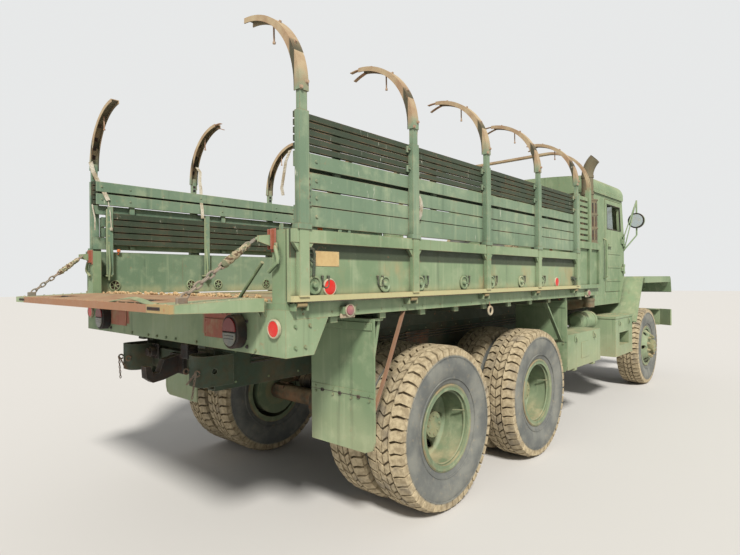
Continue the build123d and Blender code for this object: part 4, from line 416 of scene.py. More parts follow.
def make_materials():
    """Fills the table of materials, each under the key that the pieces name."""
    for key, (name, looks) in PAINTS.items():
        MATERIALS[key] = paint(name, **looks)
    for kind, table in ((weathered_iron, IRONS), (lens, LENSES)):
        for key, (name, chip, *looks) in table.items():
            MATERIALS[key] = kind(name, colour(*chip), *looks)
    MATERIALS["tyre"] = tyre_rubber("tyre_rubber")
    MATERIALS["seat"] = woven("seat_canvas", colour(86, 92, 66), colour(120, 108, 80))
    MATERIALS["cloth"] = woven("printed_sleeve", colour(196, 184, 154), colour(172, 156, 124),
                               colour(128, 132, 104))
    MATERIALS["strap"] = woven("pale_webbing", colour(214, 208, 192), colour(166, 152, 126))
    MATERIALS["glass"] = glass_pane("dusty_glass")
    for place, station in AXLES.items():
        MATERIALS["rim_" + place] = rim_paint("rim_paint_" + place, (station - MIDDLE) / 1000)


NODE_FINISHES = {
    "frame_paint_and_latch_shade": ("frame_rails",),
    "olive": ("front_bumper", "tanks", "tool_boxes", "toolbox_door", "cab_steps", "lamps", "spare_wheel"),
    "black": ("pintle_hook",),
    "gear": ("leaf_springs", "front_axle", "rear_axles", "knuckle_left", "knuckle_right", "tie_rod",
             "driveline", "dashboard", "hood_hinges"),
    "engine": ("engine",), "exhaust": ("exhaust",), "floor": ("bed_floor",), "bow": ("bed_front",),
    "sill": ("rear_sill",), "flap": ("mudflaps",), "glass": ("cab_glass",), "seat": ("cab_seats",),
    "cab": ("cab_shell", "cab_roof", "fenders", "mirrors", "hood", "grille", "door_left", "door_right"),
    "gate": ("tailgate",), "chain": ("gate_chains",), "side_left": ("dropside_left",),
    "side": ("dropside_right",), "rack_left": ("rack_left",), "rack": ("rack_right",),
    "rim_front": ("rim_front_left", "rim_front_right"), "rim_mid": ("rims_mid_left", "rims_mid_right"),
    "rim_rear": ("rims_rear_left", "rims_rear_right"),
}


def coat(piece, material):
    """Gives an object a single material."""
    piece.data.materials.clear()
    piece.data.materials.append(material)


# ---------------------------------------------------------------- mesh helpers
def lay(direction):
    """Rotation that takes local Z to a direction."""
    return Vector(direction).to_track_quat("Z", "Y").to_matrix().to_4x4()


def arc(centre, radius, start, end, count, first=Y, second=Z):
    """Points on an arc in the plane of two directions, angles in degrees."""
    centre, first, second = Vector(centre), Vector(first), Vector(second)
    angles = [math.radians(start + (end - start) * k / (count - 1)) for k in range(count)]
    return [centre + first * math.cos(a) * radius + second * math.sin(a) * radius for a in angles]


class Shape:
    """A bmesh in drawing values; side turns Y to the left (1) or to the right (-1)."""

    def __init__(self, side=1):
        self.bm = bmesh.new()
        self.side = side

    def turned(self, place):
        """A point or direction of the left side, taken to the side in hand."""
        x, y, z = place
        return Vector((x, self.side * y, z))

    def bevel(self, edges, width, segments=1):
        bmesh.ops.bevel(self.bm, geom=list(edges), offset=width, offset_type="OFFSET", segments=segments,
                        profile=0.5, affect="EDGES", clamp_overlap=True, material=-1)

    def block(self, x, y, z, edge=0.0):
        """A box between three pairs of drawing values, with its edges broken."""
        low, high = (self.turned(corner) for corner in zip(x, y, z))
        size = [abs(value) for value in high - low]
        place = Matrix.Translation((low + high) / 2) @ Matrix.Diagonal((*size, 1))
        made = bmesh.ops.create_cube(self.bm, size=1, matrix=place)["verts"]
        if edge:
            self.bevel({e for v in made for e in v.link_edges}, edge)

    def disc(self, at, direction, radius, length, sides=20, top=None, edge=0.0):
        """A round boss whose foot is at a point and that stands out along a direction."""
        axis = self.turned(direction).normalized()
        place = Matrix.Translation(self.turned(at) + axis * length / 2) @ lay(axis)
        made = bmesh.ops.create_cone(self.bm, cap_ends=True, segments=sides, radius1=radius,
                                     radius2=radius if top is None else top, depth=length,
                                     matrix=place)["verts"]
        if edge:
            rims = {e for v in made for e in v.link_edges if len(e.link_faces) == 2
                    and any(len(f.verts) > 4 for f in e.link_faces)}
            self.bevel(rims, edge, 2)

    def studs(self, xs, ys, zs, direction, radius, length, sides=8, top=None):
        """Round heads on a grid of three lists of values."""
        for x in xs:
            for y in ys:
                for z in zs:
                    self.disc((x, y, z), direction, radius, length, sides, top)

    def bolt(self, at, direction, across, height):
        """A hexagon head on a thin washer."""
        at, axis = Vector(at), Vector(direction).normalized()
        self.disc(at - axis, axis, across * 0.72, 3.5, 10)
        self.disc(at + axis * 2.0, axis, across * 0.55, height, 6)

    def bolts(self, xs, ys, zs, direction, across, height):
        """Bolts on a grid of three lists of values."""
        for x in xs:
            for y in ys:
                for z in zs:
                    self.bolt((x, y, z), direction, across, height)

    def join(self, pairs):
        """Walls between the rings of each pair."""
        for first, second in pairs:
            rims = {e for ring in (first, second) for v in ring for e in v.link_edges
                    if e.verts[0] in ring and e.verts[1] in ring}
            bmesh.ops.bridge_loops(self.bm, edges=list(rims))

    def cap(self, *rings):
        """A face across each ring."""
        for ring in rings:
            bmesh.ops.contextual_create(self.bm, geom=ring)

    def pipe(self, points, radius, sides=8, closed=False):
        """A round bar swept through points."""
        points = [self.turned(p) for p in points]
        count = len(points)
        rings = []
        for index, point in enumerate(points):
            before = points[(index - 1) % count] if closed or index else point
            after = points[(index + 1) % count] if closed or index < count - 1 else point
            place = Matrix.Translation(point) @ lay((after - before).normalized())
            rings.append(bmesh.ops.create_circle(self.bm, segments=sides, radius=radius, matrix=place)["verts"])
        self.join(zip(rings, rings[1:] + rings[:1] if closed else rings[1:]))
        if not closed:
            self.cap(rings[0], rings[-1])

    def strap(self, points, across, wide, thick):
        """A flat bar swept through points; across is the direction of its width, on either side."""
        across = Vector(across).normalized()
        points = [self.turned(p) for p in points]
        flat = Matrix.Diagonal((wide, thick, 1, 1)) @ Matrix.Rotation(math.pi / 4, 4, "Z")
        rings = []
        for index, point in enumerate(points):
            before = points[index - 1] if index else point
            after = points[index + 1] if index < len(points) - 1 else point
            out = (after - before).normalized().cross(across)
            place = Matrix((across, out, across.cross(out))).transposed().to_4x4()
            rings.append(bmesh.ops.create_circle(self.bm, segments=4, radius=math.sqrt(0.5),
                                                 matrix=Matrix.Translation(point) @ place @ flat)["verts"])
        self.join(zip(rings, rings[1:]))
        self.cap(rings[0], rings[-1])

    def revolve(self, profile, centre, axis, segments, closed=True):
        """Spins a profile of (along, out) pairs round an axis through a centre."""
        axis, centre = self.turned(axis).normalized(), self.turned(centre)
        out = Vector(Z) if abs(axis.z) < 0.9 else Vector(X)
        verts = [self.bm.verts.new(centre + axis * along + out * reach) for along, reach in profile]
        loop = list(zip(verts, verts[1:])) + ([(verts[-1], verts[0])] if closed else [])
        edges = [self.bm.edges.new(pair) for pair in loop]
        bmesh.ops.spin(self.bm, geom=verts + edges, cent=centre, axis=axis, angle=math.tau,
                       steps=segments, use_merge=True, use_duplicate=False)

    def plate(self, points, depth, edge):
        """A flat plate: its corner points in order, thickened along a depth vector."""
        face = self.bm.faces.new([self.bm.verts.new(self.turned(p)) for p in points])
        grown = bmesh.ops.extrude_face_region(self.bm, geom=[face])["geom"]
        fresh = [g for g in grown if isinstance(g, bmesh.types.BMVert)]
        bmesh.ops.translate(self.bm, verts=fresh, vec=depth)
        corners = list(face.verts) + fresh
        bmesh.ops.recalc_face_normals(self.bm, faces=list({f for v in corners for f in v.link_faces}))
        self.bevel({e for v in corners for e in v.link_edges}, edge)

    def dee(self, x, y, z):
        """A D-shaped lashing loop hanging from two ears on a side panel."""
        half, drop = 20.0, 32.0
        bend = arc((x, y + 9, z - drop), half, 180, 360, 9, X, Z)
        self.pipe([(x - half, y + 9, z), *bend, (x + half, y + 9, z)], 3.6)
        for ear in (x - half, x + half):
            self.block((ear - 6, ear + 6), (y, y + 12), (z - 7, z + 8), 2.0)

    def chain(self, start, end, pitch, bar, width):
        """Oval links between two points, each turned a quarter from the last."""
        start, end = Vector(start), Vector(end)
        run = end - start
        heading = run.normalized()
        count = max(2, round(run.length / pitch))
        upright = heading.cross(Vector(Z if abs(heading.z) < 0.9 else X)).normalized()
        flats = (heading.cross(upright), upright)
        turns = [math.tau * step / 10 for step in range(10)]
        for index in range(count):
            centre = start + run * ((index + 0.5) / count)
            flat = flats[index % 2]
            self.pipe([centre + heading * math.cos(a) * pitch * 0.62 + flat * math.sin(a) * width / 2
                       for a in turns], bar, 6, closed=True)

    def settle(self, gap=WELD):
        """Closes seams and poles, and turns every face outwards."""
        bmesh.ops.remove_doubles(self.bm, verts=self.bm.verts, dist=gap)
        bmesh.ops.recalc_face_normals(self.bm, faces=self.bm.faces)

    def take(self, other):
        """Adds the mesh of another shape, which is used up."""
        scrap = other.mesh("scrap")
        self.bm.from_mesh(scrap)
        bpy.data.meshes.remove(scrap)

    def mesh(self, name):
        """Mesh data of the shape, which is used up."""
        mesh = bpy.data.meshes.new(name)
        self.bm.to_mesh(mesh)
        self.bm.free()
        return mesh


def publish(name, shape, body, material, replaces, smooth):
    """Turns a shape in drawing values into a finished piece that rides on a body."""
    bmesh.ops.transform(shape.bm, matrix=DRAWING_TO_FRAME, verts=shape.bm.verts)
    mesh = shape.mesh(name)
    mesh.shade_smooth()
    mesh.set_sharp_from_angle(angle=math.radians(smooth))
    piece = bpy.data.objects.new(name, mesh)
    bpy.context.scene.collection.objects.link(piece)
    coat(piece, MATERIALS[material])
    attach(piece, body)
    if replaces:
        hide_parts(*replaces)


@contextlib.contextmanager
def making(name, body, slot, material, side=1, replaces=(), smooth=32.0, gap=WELD):
    """Hands out an empty shape, and publishes it as a piece once it is filled."""
    shape = Shape(side)
    yield shape
    if gap:
        shape.settle(gap)
    publish(name, shape, body, material, replaces, smooth)


# ---------------------------------------------------------------- tyres
def tread_block(bm, corners, base, height):
    """One rubber block on the flat tread band: (round, across) corners raised to a height."""
    face = bm.faces.new([bm.verts.new((u, y, base)) for u, y in corners])
    bm.normal_update()
    if face.normal.z < 0:
        face.normal_flip()
    top = bmesh.ops.extrude_face_region(bm, geom=[face])["geom"]
    raised = [g for g in top if isinstance(g, bmesh.types.BMVert)]
    centre = sum((v.co for v in raised), Vector()) / len(raised)
    bmesh.ops.translate(bm, verts=raised, vec=(0, 0, height))
    for v in raised:
        v.co.x += (centre.x - v.co.x) * BLOCK_TAPER
        v.co.y += (centre.y - v.co.y) * BLOCK_TAPER


def build_tyre(sizes):
    """A cross-country tyre on its own axis (Y), out to the tips of its tread."""
    dice = random.Random(11)
    depth = sizes.tread_depth * 1000
    crown = TYRE_RADIUS - depth
    outside = [
        (-95, 258), (-108, 268), (-116, 300), (-134, 350), (-143, 400), (-141, 446), (-133, 480),
        (-124, crown - 16), (-112, crown - 5), (-60, crown),
    ]
    inside = [(88, 262), (92, 300), (108, 360), (112, 430), (96, crown - 34)]
    profile = (outside + [(0, crown + 1)] + [(-y, z) for y, z in reversed(outside)]
               + inside + [(0, crown - 26)] + [(-y, z) for y, z in reversed(inside)])
    tyre = Shape()
    tyre.revolve(profile, (0, 0, 0), Y, 88)
    tyre.settle()
    # Two raised guard ribs on each sidewall.
    for side in (-1, 1):
        for reach, along, wide in ((466, 137.5, 5), (322, 125, 4)):
            foot, tip = side * along, side * (along + 5)
            rib = Shape()
            rib.revolve([(foot, reach - wide), (tip, reach - wide * 0.5), (tip, reach + wide * 0.5),
                         (foot, reach + wide)], (0, 0, 0), Y, 72)
            rib.settle()
            tyre.take(rib)
    band = Shape()
    pitch = math.tau * TYRE_RADIUS / sizes.tread_pitches
    gap = pitch * 0.16
    zig = pitch * 0.26
    for turn in range(sizes.tread_pitches):
        u0 = turn * pitch + gap / 2
        u1 = (turn + 1) * pitch - gap / 2
        lift = dice.uniform(-1.2, 0.8)
        shoulder = [(u0, TREAD_EDGE), (u1, TREAD_EDGE), (u1 + zig * 0.3, 98), (u1 - zig * 0.5, 60), (u1 + zig, 50),
                    (u0 + zig, 50), (u0 - zig * 0.5, 60), (u0 + zig * 0.3, 98)]
        middle = [(u0 + zig, 42), (u1 + zig, 42), (u1 + zig * 0.2, 22), (u1 - zig * 0.6, 4),
                  (u0 - zig * 0.6, 4), (u0 + zig * 0.2, 22)]
        for corners in (shoulder, middle):
            for side in (-1, 1):
                tread_block(band.bm, [(u, side * y) for u, y in corners], crown - 14, depth + 14 + lift)
    bmesh.ops.recalc_face_normals(band.bm, faces=band.bm.faces)
    for v in band.bm.verts:
        shoulder = max(0.0, abs(v.co.y) - TREAD_FLAT) / (TREAD_EDGE - TREAD_FLAT)
        reach = min(v.co.z, TYRE_RADIUS) - SHOULDER_DROP * shoulder ** 2
        if abs(v.co.y) > SHOULDER and v.co.z < crown:
            reach -= SHOULDER_DROP
        angle = v.co.x / TYRE_RADIUS
        v.co = (math.sin(angle) * reach, v.co.y * (0.985 - 0.02 * shoulder), math.cos(angle) * reach)
    tyre.take(band)
    return tyre.mesh("tyre_pattern")


def tyre_piece(name, pattern, places, body, replaced, axis_turn=Matrix.Identity(4)):
    """Sets copies of the tyre on their centres, with the two values the rubber reads."""
    shape = Shape()
    bm = shape.bm
    reach_layer = bm.verts.layers.float.new("reach")
    band_layer = bm.verts.layers.float.new("band")
    for index, centre in enumerate(places):
        start = len(bm.verts)
        bm.from_mesh(pattern)
        bm.verts.ensure_lookup_table()
        fresh = bm.verts[start:]
        for v in fresh:
            out = math.hypot(v.co.x, v.co.z)
            v[reach_layer] = out / 1000
            # The band value is low inside the tread grooves, where the rubber gets painted shade.
            shoulder = (abs(v.co.y) - SHOULDER) / GROOVE_FADE
            v[band_layer] = min(1.0, max(0.0, shoulder, (out - GROOVE_REACH) / GROOVE_FADE))
        roll = Matrix.Rotation(0.37 * (index + 1) + 0.11 * len(name), 4, "Y")
        bmesh.ops.transform(bm, matrix=Matrix.Translation(centre) @ axis_turn @ roll, verts=fresh)
    publish(name, shape, body, "tyre", replaced, 40.0)


# ---------------------------------------------------------------- property groups
class TruckSizes(bpy.types.PropertyGroup):
    tread_pitches: IntProperty(name="Tread pitches", description="Tread blocks round a tyre",
                               default=46, min=20, max=80)
    tread_depth: FloatProperty(name="Tread depth", description="Height of the tread blocks",
                               default=0.018, min=0.005, max=0.03, unit="LENGTH")


class TruckStage(bpy.types.PropertyGroup):
    floor_colour: FloatVectorProperty(name="Floor", description="Colour of the studio floor",
                                      subtype="COLOR", default=(0.60, 0.59, 0.575), min=0.0, max=1.0)
    sky_strength: FloatProperty(name="Soft light", description="Strength of the even light",
                                default=0.46, min=0.0)
    key_strength: FloatProperty(name="Key light", description="Strength of the large lamp",
                                default=4.2, min=0.0)


# ---------------------------------------------------------------- operators
class TRUCK_OT_finishes(bpy.types.Operator):
    """Makes the finishes and coats every node of the frame"""
    bl_idname = "truck.finishes"
    bl_label = "Paint and finishes"

    def execute(self, context):
        make_materials()
        for finish, nodes in NODE_FINISHES.items():
            for node in nodes:
                coat(NODES[node], MATERIALS[finish])
        for node in NODES:
            if node.startswith("tyre"):
                coat(NODES[node], MATERIALS["hose"])
        return {"FINISHED"}


class TRUCK_OT_tyres(bpy.types.Operator):
    """Builds the tyres with zigzag drive tread"""
    bl_idname = "truck.tyres"
    bl_label = "Tyres"

    def execute(self, context):
        pattern = build_tyre(context.scene.truck_sizes)
        for side, sign in SIDES:
            front = [(AXLES["front"], sign * FRONT_CENTRE, WHEEL_Z)]
            tyre_piece(f"front_tyre_{side}", pattern, front, f"wheel_front_{side}", [f"tyre_front_{side}"])
            for axle in ("mid", "rear"):
                pair = [(AXLES[axle], sign * y, WHEEL_Z) for y in DUAL_CENTRES]
                tyre_piece(f"{axle}_tyre_pair_{side}", pattern, pair, f"wheel_{axle}_{side}",
                           [f"tyres_{axle}_{side}"])
        return {"FINISHED"}


class TRUCK_OT_spare_wheel(bpy.types.Operator):
    """Builds the spare wheel behind the cab, on its carrier"""
    bl_idname = "truck.spare_wheel"
    bl_label = "Spare wheel"

    def execute(self, context):
        across = Matrix.Rotation(math.radians(-90), 4, "Z")
        tyre_piece("spare_tyre", build_tyre(context.scene.truck_sizes), [SPARE_CENTRE], "chassis",
                   ["spare_wheel"], across)
        x, y, z = SPARE_CENTRE
        with making("spare_rim", "chassis", "olive_paint", "olive", replaces=["spare_wheel"]) as s:
            s.revolve([(-117, 240), (-117, 284), (-109, 284), (-105, 254), (105, 254), (109, 284),
                       (117, 284), (117, 240)], SPARE_CENTRE, X, 48)
            s.revolve([(40, 82), (40, 165), (-52, 238), (-40, 241), (54, 172), (54, 82)], SPARE_CENTRE, X, 48)
            s.block((x - 45, x + 39), (y - 130, y + 130), (z - 60, z + 60), 6)
            s.block((x - 45, x - 15), (y - 60, y + 60), (1160, z), 4)
            s.block((x - 130, x + 130), (-430, 680), (1120.3, 1165), 4)
            for at in arc((x + 54, y, z), NUT_CIRCLE, 0, 324, 10):
                s.disc(at, X, 18, 22, 6)
        return {"FINISHED"}


class TRUCK_OT_wheel_nuts(bpy.types.Operator):
    """Adds wheel nuts, hub bolts, valves and lock rings"""
    bl_idname = "truck.wheel_nuts"
    bl_label = "Wheel nuts"

    def execute(self, context):
        for name, side in SIDES:
            for axle, x in AXLES.items():
                front = axle == "front"
                face, hub, y = (1133, 1188, FRONT_CENTRE) if front else (915, 1083, DUAL_CENTRES[0])
                body = f"wheel_{axle}_{name}"
                with making(f"wheel_nuts_{axle}_{name}", body, "worn_steel", "nut", side) as s:
                    for at in arc((x, face, WHEEL_Z), NUT_CIRCLE, 18, 342, 10, X):
                        s.disc(at, Y, 24, 6, 14)
                        s.disc(at + Vector((0, 5, 0)), Y, 19, 24, 6, top=17)
                        s.disc(at + Vector((0, 29, 0)), Y, 10, 8, 10, top=8)
                    for at in arc((x, hub, WHEEL_Z), 62, 0, 315, 8, X):
                        s.disc(at, Y, 9, 8, 6)
                with making(f"lock_ring_{axle}_{name}", body, "olive_paint", f"rim_{axle}", side) as s:
                    s.revolve([(111, 244), (111, 258), (118, 262), (121, 268), (121, 276), (117, 280),
                               (115, 272), (112, 262), (104, 248)], (x, y, WHEEL_Z), Y, 56)
                    s.revolve([(88, 229), (88, 240.5), (100, 240.5), (100, 233), (96, 229)],
                              (x, y, WHEEL_Z), Y, 56)
                    s.pipe([(x + 205, y + 20, WHEEL_Z + 60), (x + 214, y + 70, WHEEL_Z + 66),
                            (x + 222, y + 104, WHEEL_Z + 70)], 5)
        return {"FINISHED"}


class TRUCK_OT_side_fittings(bpy.types.Operator):
    """Adds lashing loops, discs, latches, a blank plate and reflectors to the drop sides"""
    bl_idname = "truck.side_fittings"
    bl_label = "Drop side fittings"

    def execute(self, context):
        y = PANEL_Y
        for name, side in SIDES:
            body = f"dropside_{name}"
            with making(f"side_discs_{name}", body, "olive_paint", "olive", side) as s:
                for x in SIDE_DISCS:
                    s.revolve([(0, 0), (0, 46), (9, 46), (12, 42), (12, 36), (6, 32), (4, 20), (6, 17), (19, 13),
                               (22, 9), (22, 0)], (x, y, 1483), Y, 28, closed=False)
            # The loops and latches take the dark frame paint, partly as painted shade on them.
            with making(f"side_latches_{name}", body, "worn_steel", "frame_paint_and_latch_shade", side) as s:
                for x in SIDE_LOOPS:
                    s.dee(x, y, 1522)
                # Corner latch at the rear: a hooked rod on its bracket beside the first rib.
                s.block((-1250, -1216), (y, y + 16), (1630, 1674), 3)
                s.pipe([(-1246, y + 20, 1660), (-1222, y + 24, 1652), (-1213, y + 24, 1630),
                        (-1215, y + 22, 1580), (-1218, y + 20, 1530)], 7)
                s.pipe([(-1248, y + 16, 1640), (-1240, y + 22, 1606), (-1216, y + 22, 1590)], 6.5)
                # Front latch and its keeper, below the top rail.
                s.block((2010, 2190), (y, y + 9), (1488, 1522), 3)
                s.pipe([(2020, y + 16, 1505), (2180, y + 16, 1505)], 8, 10)
                s.pipe([(2060, y + 16, 1505), (2050, y + 24, 1470), (2052, y + 24, 1440)], 7)
                for x in (2035, 2110, 2170):
                    s.block((x - 9, x + 9), (y, y + 26), (1490, 1520), 3)
            with making(f"blank_plate_{name}", body, "olive_paint", "tan_plate", side, gap=None) as s:
                s.block((-1188, -1030), (y, y + 2.5), (1574, 1648), 1.0)
                s.studs((-1180, -1038), (y + 2,), (1582, 1640), Y, 4, 2, top=2.5)
            with making(f"side_reflector_ring_{name}", body, "olive_paint", "pale", side) as s:
                for x in SIDE_REFLECTORS:
                    s.revolve([(0, 35), (0, 44), (6, 44), (9, 41), (9, 38), (4, 35)], (x, y, 1472), Y, 28)
            with making(f"side_reflector_glass_{name}", body, "lamp_lens", "bright_red", side) as s:
                for x in SIDE_REFLECTORS:
                    s.revolve([(0, 0), (0, 37), (7, 37), (9, 31), (12, 0)], (x, y, 1472), Y, 28,
                              closed=False)
        return {"FINISHED"}


def bow(x, reach, degrees):
    """A point of the left bow end at a station, from the radius and the angle above its spring."""
    angle = math.radians(degrees)
    return Vector((x, BOW_FACE - BOW_RADIUS + reach * math.cos(angle), BOW_SPRING + reach * math.sin(angle)))


class TRUCK_OT_rack_fittings(bpy.types.Operator):
    """Adds board bolts, end brackets, bow bolts and slots, straps and inner boards to the racks"""
    bl_idname = "truck.rack_fittings"
    bl_label = "Rack and bow fittings"

    def execute(self, context):
        for name, side in SIDES:
            body = f"dropside_{name}"
            with making(f"rack_bolts_{name}", body, "olive_paint", "rack", side) as s:
                for x in RIB_STATIONS:
                    reach = 104 if x == RIB_STATIONS[0] else 44
                    s.studs((x + reach,), (1243,), [sum(edges) / 2 for edges in BOARD_EDGES], Y, 9, 5, 10, 6)
            # A perforated strip over the board ends, and the slat tabs behind each stake.
            # Painted shade: the holes of the strip are thin dark discs.
            with making(f"plate_holes_{name}", body, "flap_rubber", "shade_and_seams", side) as s:
                s.studs((-1228,), (1250.5,), range(1874, 2010, 28), Y, 7, 1.5, 12)
            with making(f"rack_brackets_{name}", body, "olive_paint", "rack", side) as s:
                s.block((-1246, -1211), (1248, 1251), (1858, 2014), 2)
                for x in RIB_STATIONS[1:]:
                    for z in (2150, 2262):
                        s.block((x - 52, x - 27), (1241, 1256), (z - 20, z + 20), 3)
                        s.bolt((x - 40, 1256, z), Y, 13, 8)
            with making(f"bow_bolts_{name}", body, "worn_steel", "bow_bare", side, gap=FINE_WELD) as s:
                for index, x in enumerate(RIB_STATIONS):
                    for dx, z in ((-18, 2395), (18, 2428)):
                        s.bolt((x + dx, BOW_FACE - 1, z), Y, 15, 8)
                    for degrees in (30, 52, 76):
                        s.bolt(bow(x, BOW_RADIUS, degrees), bow(0, 1, degrees) - bow(0, 0, degrees), 12, 7)
                    # Long bolt that hangs from the bow end for the missing wooden bow.
                    pin = bow(x, BOW_RADIUS - 30, 57)
                    s.pipe([pin + Vector((0, 0, 20)), pin + Vector((2, 0, -78))], 4.5)
                    s.disc(pin + Vector((2, 0, -88)), Z, 8, 10, 6)
                    # Forked tip: one prong runs on, the other curls below it.
                    for prong, dx in enumerate((-14, 14) if index else ()):
                        s.strap([bow(x + dx, BOW_RADIUS - 8 - prong * (18 + step * 7), 84 + step * 3.2)
                                 for step in range(5)], X, 24, 5)
            # Painted shade: the slots are thin dark strips on the bow ends.
            with making(f"bow_slots_{name}", body, "flap_rubber", "shade_and_seams", side) as s:
                for x in RIB_STATIONS:
                    for degrees in (12, 21, 30, 45):
                        along = bow(0, 17, degrees + 90) - bow(0, 0, 0)
                        at = bow(x, BOW_RADIUS - 6.5, degrees)
                        s.strap([at - along, at + along], X, 24, 2)
                    for z in (2330, 2362):
                        s.block((x - 12, x + 12), (1245.6, 1247), (z - 11, z + 11))
            with making(f"bow_straps_{name}", body, "seat_cover", "strap", side) as s:
                for x in RIB_STATIONS[1:]:
                    line = [bow(x + 31, BOW_RADIUS - 14, degrees) for degrees in range(44, 0, -7)]
                    s.strap([*line, (x + 31, BOW_FACE - 18, 2380), (x + 31, BOW_FACE - 22, 2340)],
                            (0, 1, 0.2), 17, 2.4)
                x = RIB_STATIONS[0] - 32
                s.strap([(x, 1214, 2112), (x - 3, 1186, 2064), (x + 1, 1164, 2000), (x - 3, 1154, 1944),
                         (x, 1160, 1908)], Y, 20, 2.4)
                if side > 0:
                    # Two loose straps on the inside of the left rack, the first with a knobbed cord.
                    s.strap([(-1318, 1226, 2446), (-1304, 1214, 2370), (-1268, 1204, 2290),
                             (-1240, 1190, 2230), (-1208, 1172, 2150)], (0.93, 0, 0.37), 32, 2.4)
                    s.pipe([(-1205, 1180, 2140), (-1196, 1164, 2050), (-1190, 1160, 1930)], 4, 6)
                    s.disc((-1190, 1160, 1935), (0, 0, -1), 11, 24, 10, edge=3)
                    s.strap([(-420, 1214, 2540), (-392, 1208, 2500), (-398, 1206, 2420), (-388, 1202, 2330),
                             (-396, 1190, 2240), (-392, 1174, 2150), (-394, 1166, 2074)], (1, 0, 0.1), 30, 2.4)
                x = RIB_STATIONS[1] + 46
                s.strap([(x - 6, 1244, 2016), (x, 1262, 2002), (x + 4, 1274, 1968), (x + 5, 1277, 1930),
                         (x + 3, 1272, 1888), (x, 1260, 1862), (x - 6, 1244, 1850)], X, 28, 3)
        # Two broad boards along the inside of the left rack only.
        with making("inner_boards_left", "dropside_left", "olive_paint", "rack_left") as s:
            for low, high in ((2112, 2200), (2214, 2294)):
                s.block((-1292, 2160), (1184, 1197), (low, high), 2.5)
                heads = [x + dx for x in RIB_STATIONS for dx in (30, 250) if x + dx < 2150]
                s.studs(heads, (1184,), ((low + high) / 2,), INWARD, 8.5, 5, 10, 6)
        return {"FINISHED"}


class TRUCK_OT_gate_chains(bpy.types.Operator):
    """Links the chains of the tailgate and wraps their cotton sleeves"""
    bl_idname = "truck.gate_chains"
    bl_label = "Tailgate chains"

    def execute(self, context):
        dice = random.Random(8)
        foot, eye = Vector((-1765, 1050, 1434)), Vector((-1425, 1094, 1700))
        run = eye - foot
        steps = 26
        for name, side in SIDES:
            with making(f"gate_chain_{name}", "tailgate", "worn_steel", "chain", side,
                        ["gate_chains"] if side < 0 else (), gap=FINE_WELD) as s:
                s.chain(foot, eye, 36, 5.2, 24)
                s.block((-1790, -1740), (1042, 1058), (1410, 1440), 3)
            profile = []
            for index in range(steps + 1):
                share = 0.52 + 0.37 * index / steps
                swell = min(23.0, 54.0 - 44.0 * share) + 1.8 * math.sin(index * 1.3) + dice.uniform(-1.2, 1.2)
                profile.append((run.length * share, swell))
            profile = [(profile[0][0] - 4, 11.0), *profile, (profile[-1][0] + 4, 9.5)]
            with making(f"chain_sleeve_{name}", "tailgate", "seat_cover", "cloth", side, smooth=80,
                        gap=None) as s:
                s.revolve(profile, foot, run, 18, closed=False)
                s.settle()
                heading = s.turned(run).normalized()
                for v in s.bm.verts:
                    away = v.co - s.turned(foot)
                    v.co += (away - heading * away.dot(heading)).normalized() * dice.uniform(-1.6, 1.4)
        return {"FINISHED"}


class TRUCK_OT_gate_fittings(bpy.types.Operator):
    """Adds rivets, a lip and hooks to the tailgate, and the levers and brackets of its posts"""
    bl_idname = "truck.gate_fittings"
    bl_label = "Tailgate fittings"

    def execute(self, context):
        with making("gate_rivets", "tailgate", "olive_paint", "gate") as s:
            s.studs((-1832,), range(-1045, 1046, 95), (1409.5,), Z, 8, 4, top=5)
            for x in range(-1800, -1400, 60):
                s.studs((x,), (-1085, 1085), (1410 + (x + 1845) * 15 / 466,), Z, 7, 4, top=4.5)
            for y in range(-900, 901, 225):
                s.block((-1835, -1390), (y - 18, y + 18), (1373, 1380), 2)
        # Lip of the gate's rim that has sprung up on the right.
        with making("gate_lip", "tailgate", "olive_paint", "olive") as s:
            s.strap([(-1824, -452, 1411), (-1822, -540, 1420), (-1822, -640, 1430), (-1824, -720, 1433),
                     (-1826, -800, 1425), (-1828, -880, 1413), (-1829, -950, 1411)], (1, 0, 0.25), 30, 4)
        # Painted shade: the recesses of the gate and a patch on its rear edge are near-black plates, with a dark
        # hook in each recess.
        with making("gate_recess_hooks", "tailgate", "worn_steel", "shade_and_seams") as s:
            for s.side in BOTH:
                s.block((-1754, -1636), (482, 698), (1389, 1393), 1)
                s.pipe([(-1695, 500, 1400), (-1695, 530, 1412), (-1695, 650, 1412), (-1695, 680, 1400)], 8)
                s.block((-1847.5, -1843), (905, 1020), (1386, 1400), 1)
        with making("post_handles", "chassis", "worn_steel", "olive") as s:
            for s.side in BOTH:
                # Bent locking lever of the gate on the corner post.
                s.pipe([(-1352, 1150, 1665), (-1364, 1168, 1652), (-1366, 1186, 1610), (-1366, 1184, 1590),
                        (-1366, 1150, 1568), (-1364, 1116, 1548)], 9.5, 10)
                s.block((-1356, -1345), (1138, 1164), (1646, 1684), 3)
            # Loose stay that leans across the floor's rear edge, on the right as the loop ends there.
            s.pipe([(-1322, 800, 1411), (-1324, 1010, 1597)], 9, 10)
            s.block((-1330, -1316), (786, 812), (1400, 1410), 2)
        with making("chain_brackets", "chassis", "rusty_steel", "red_iron") as s:
            for s.side in BOTH:
                for y in (1117, 1139):
                    s.block((-1374, -1345), (y, y + 6), (1652, 1748), 2)
                s.block((-1351, -1345), (1112, 1150), (1640, 1752), 2)
                s.bolts((-1351,), (1130,), (1668, 1736), REAR, 12, 6)
        return {"FINISHED"}


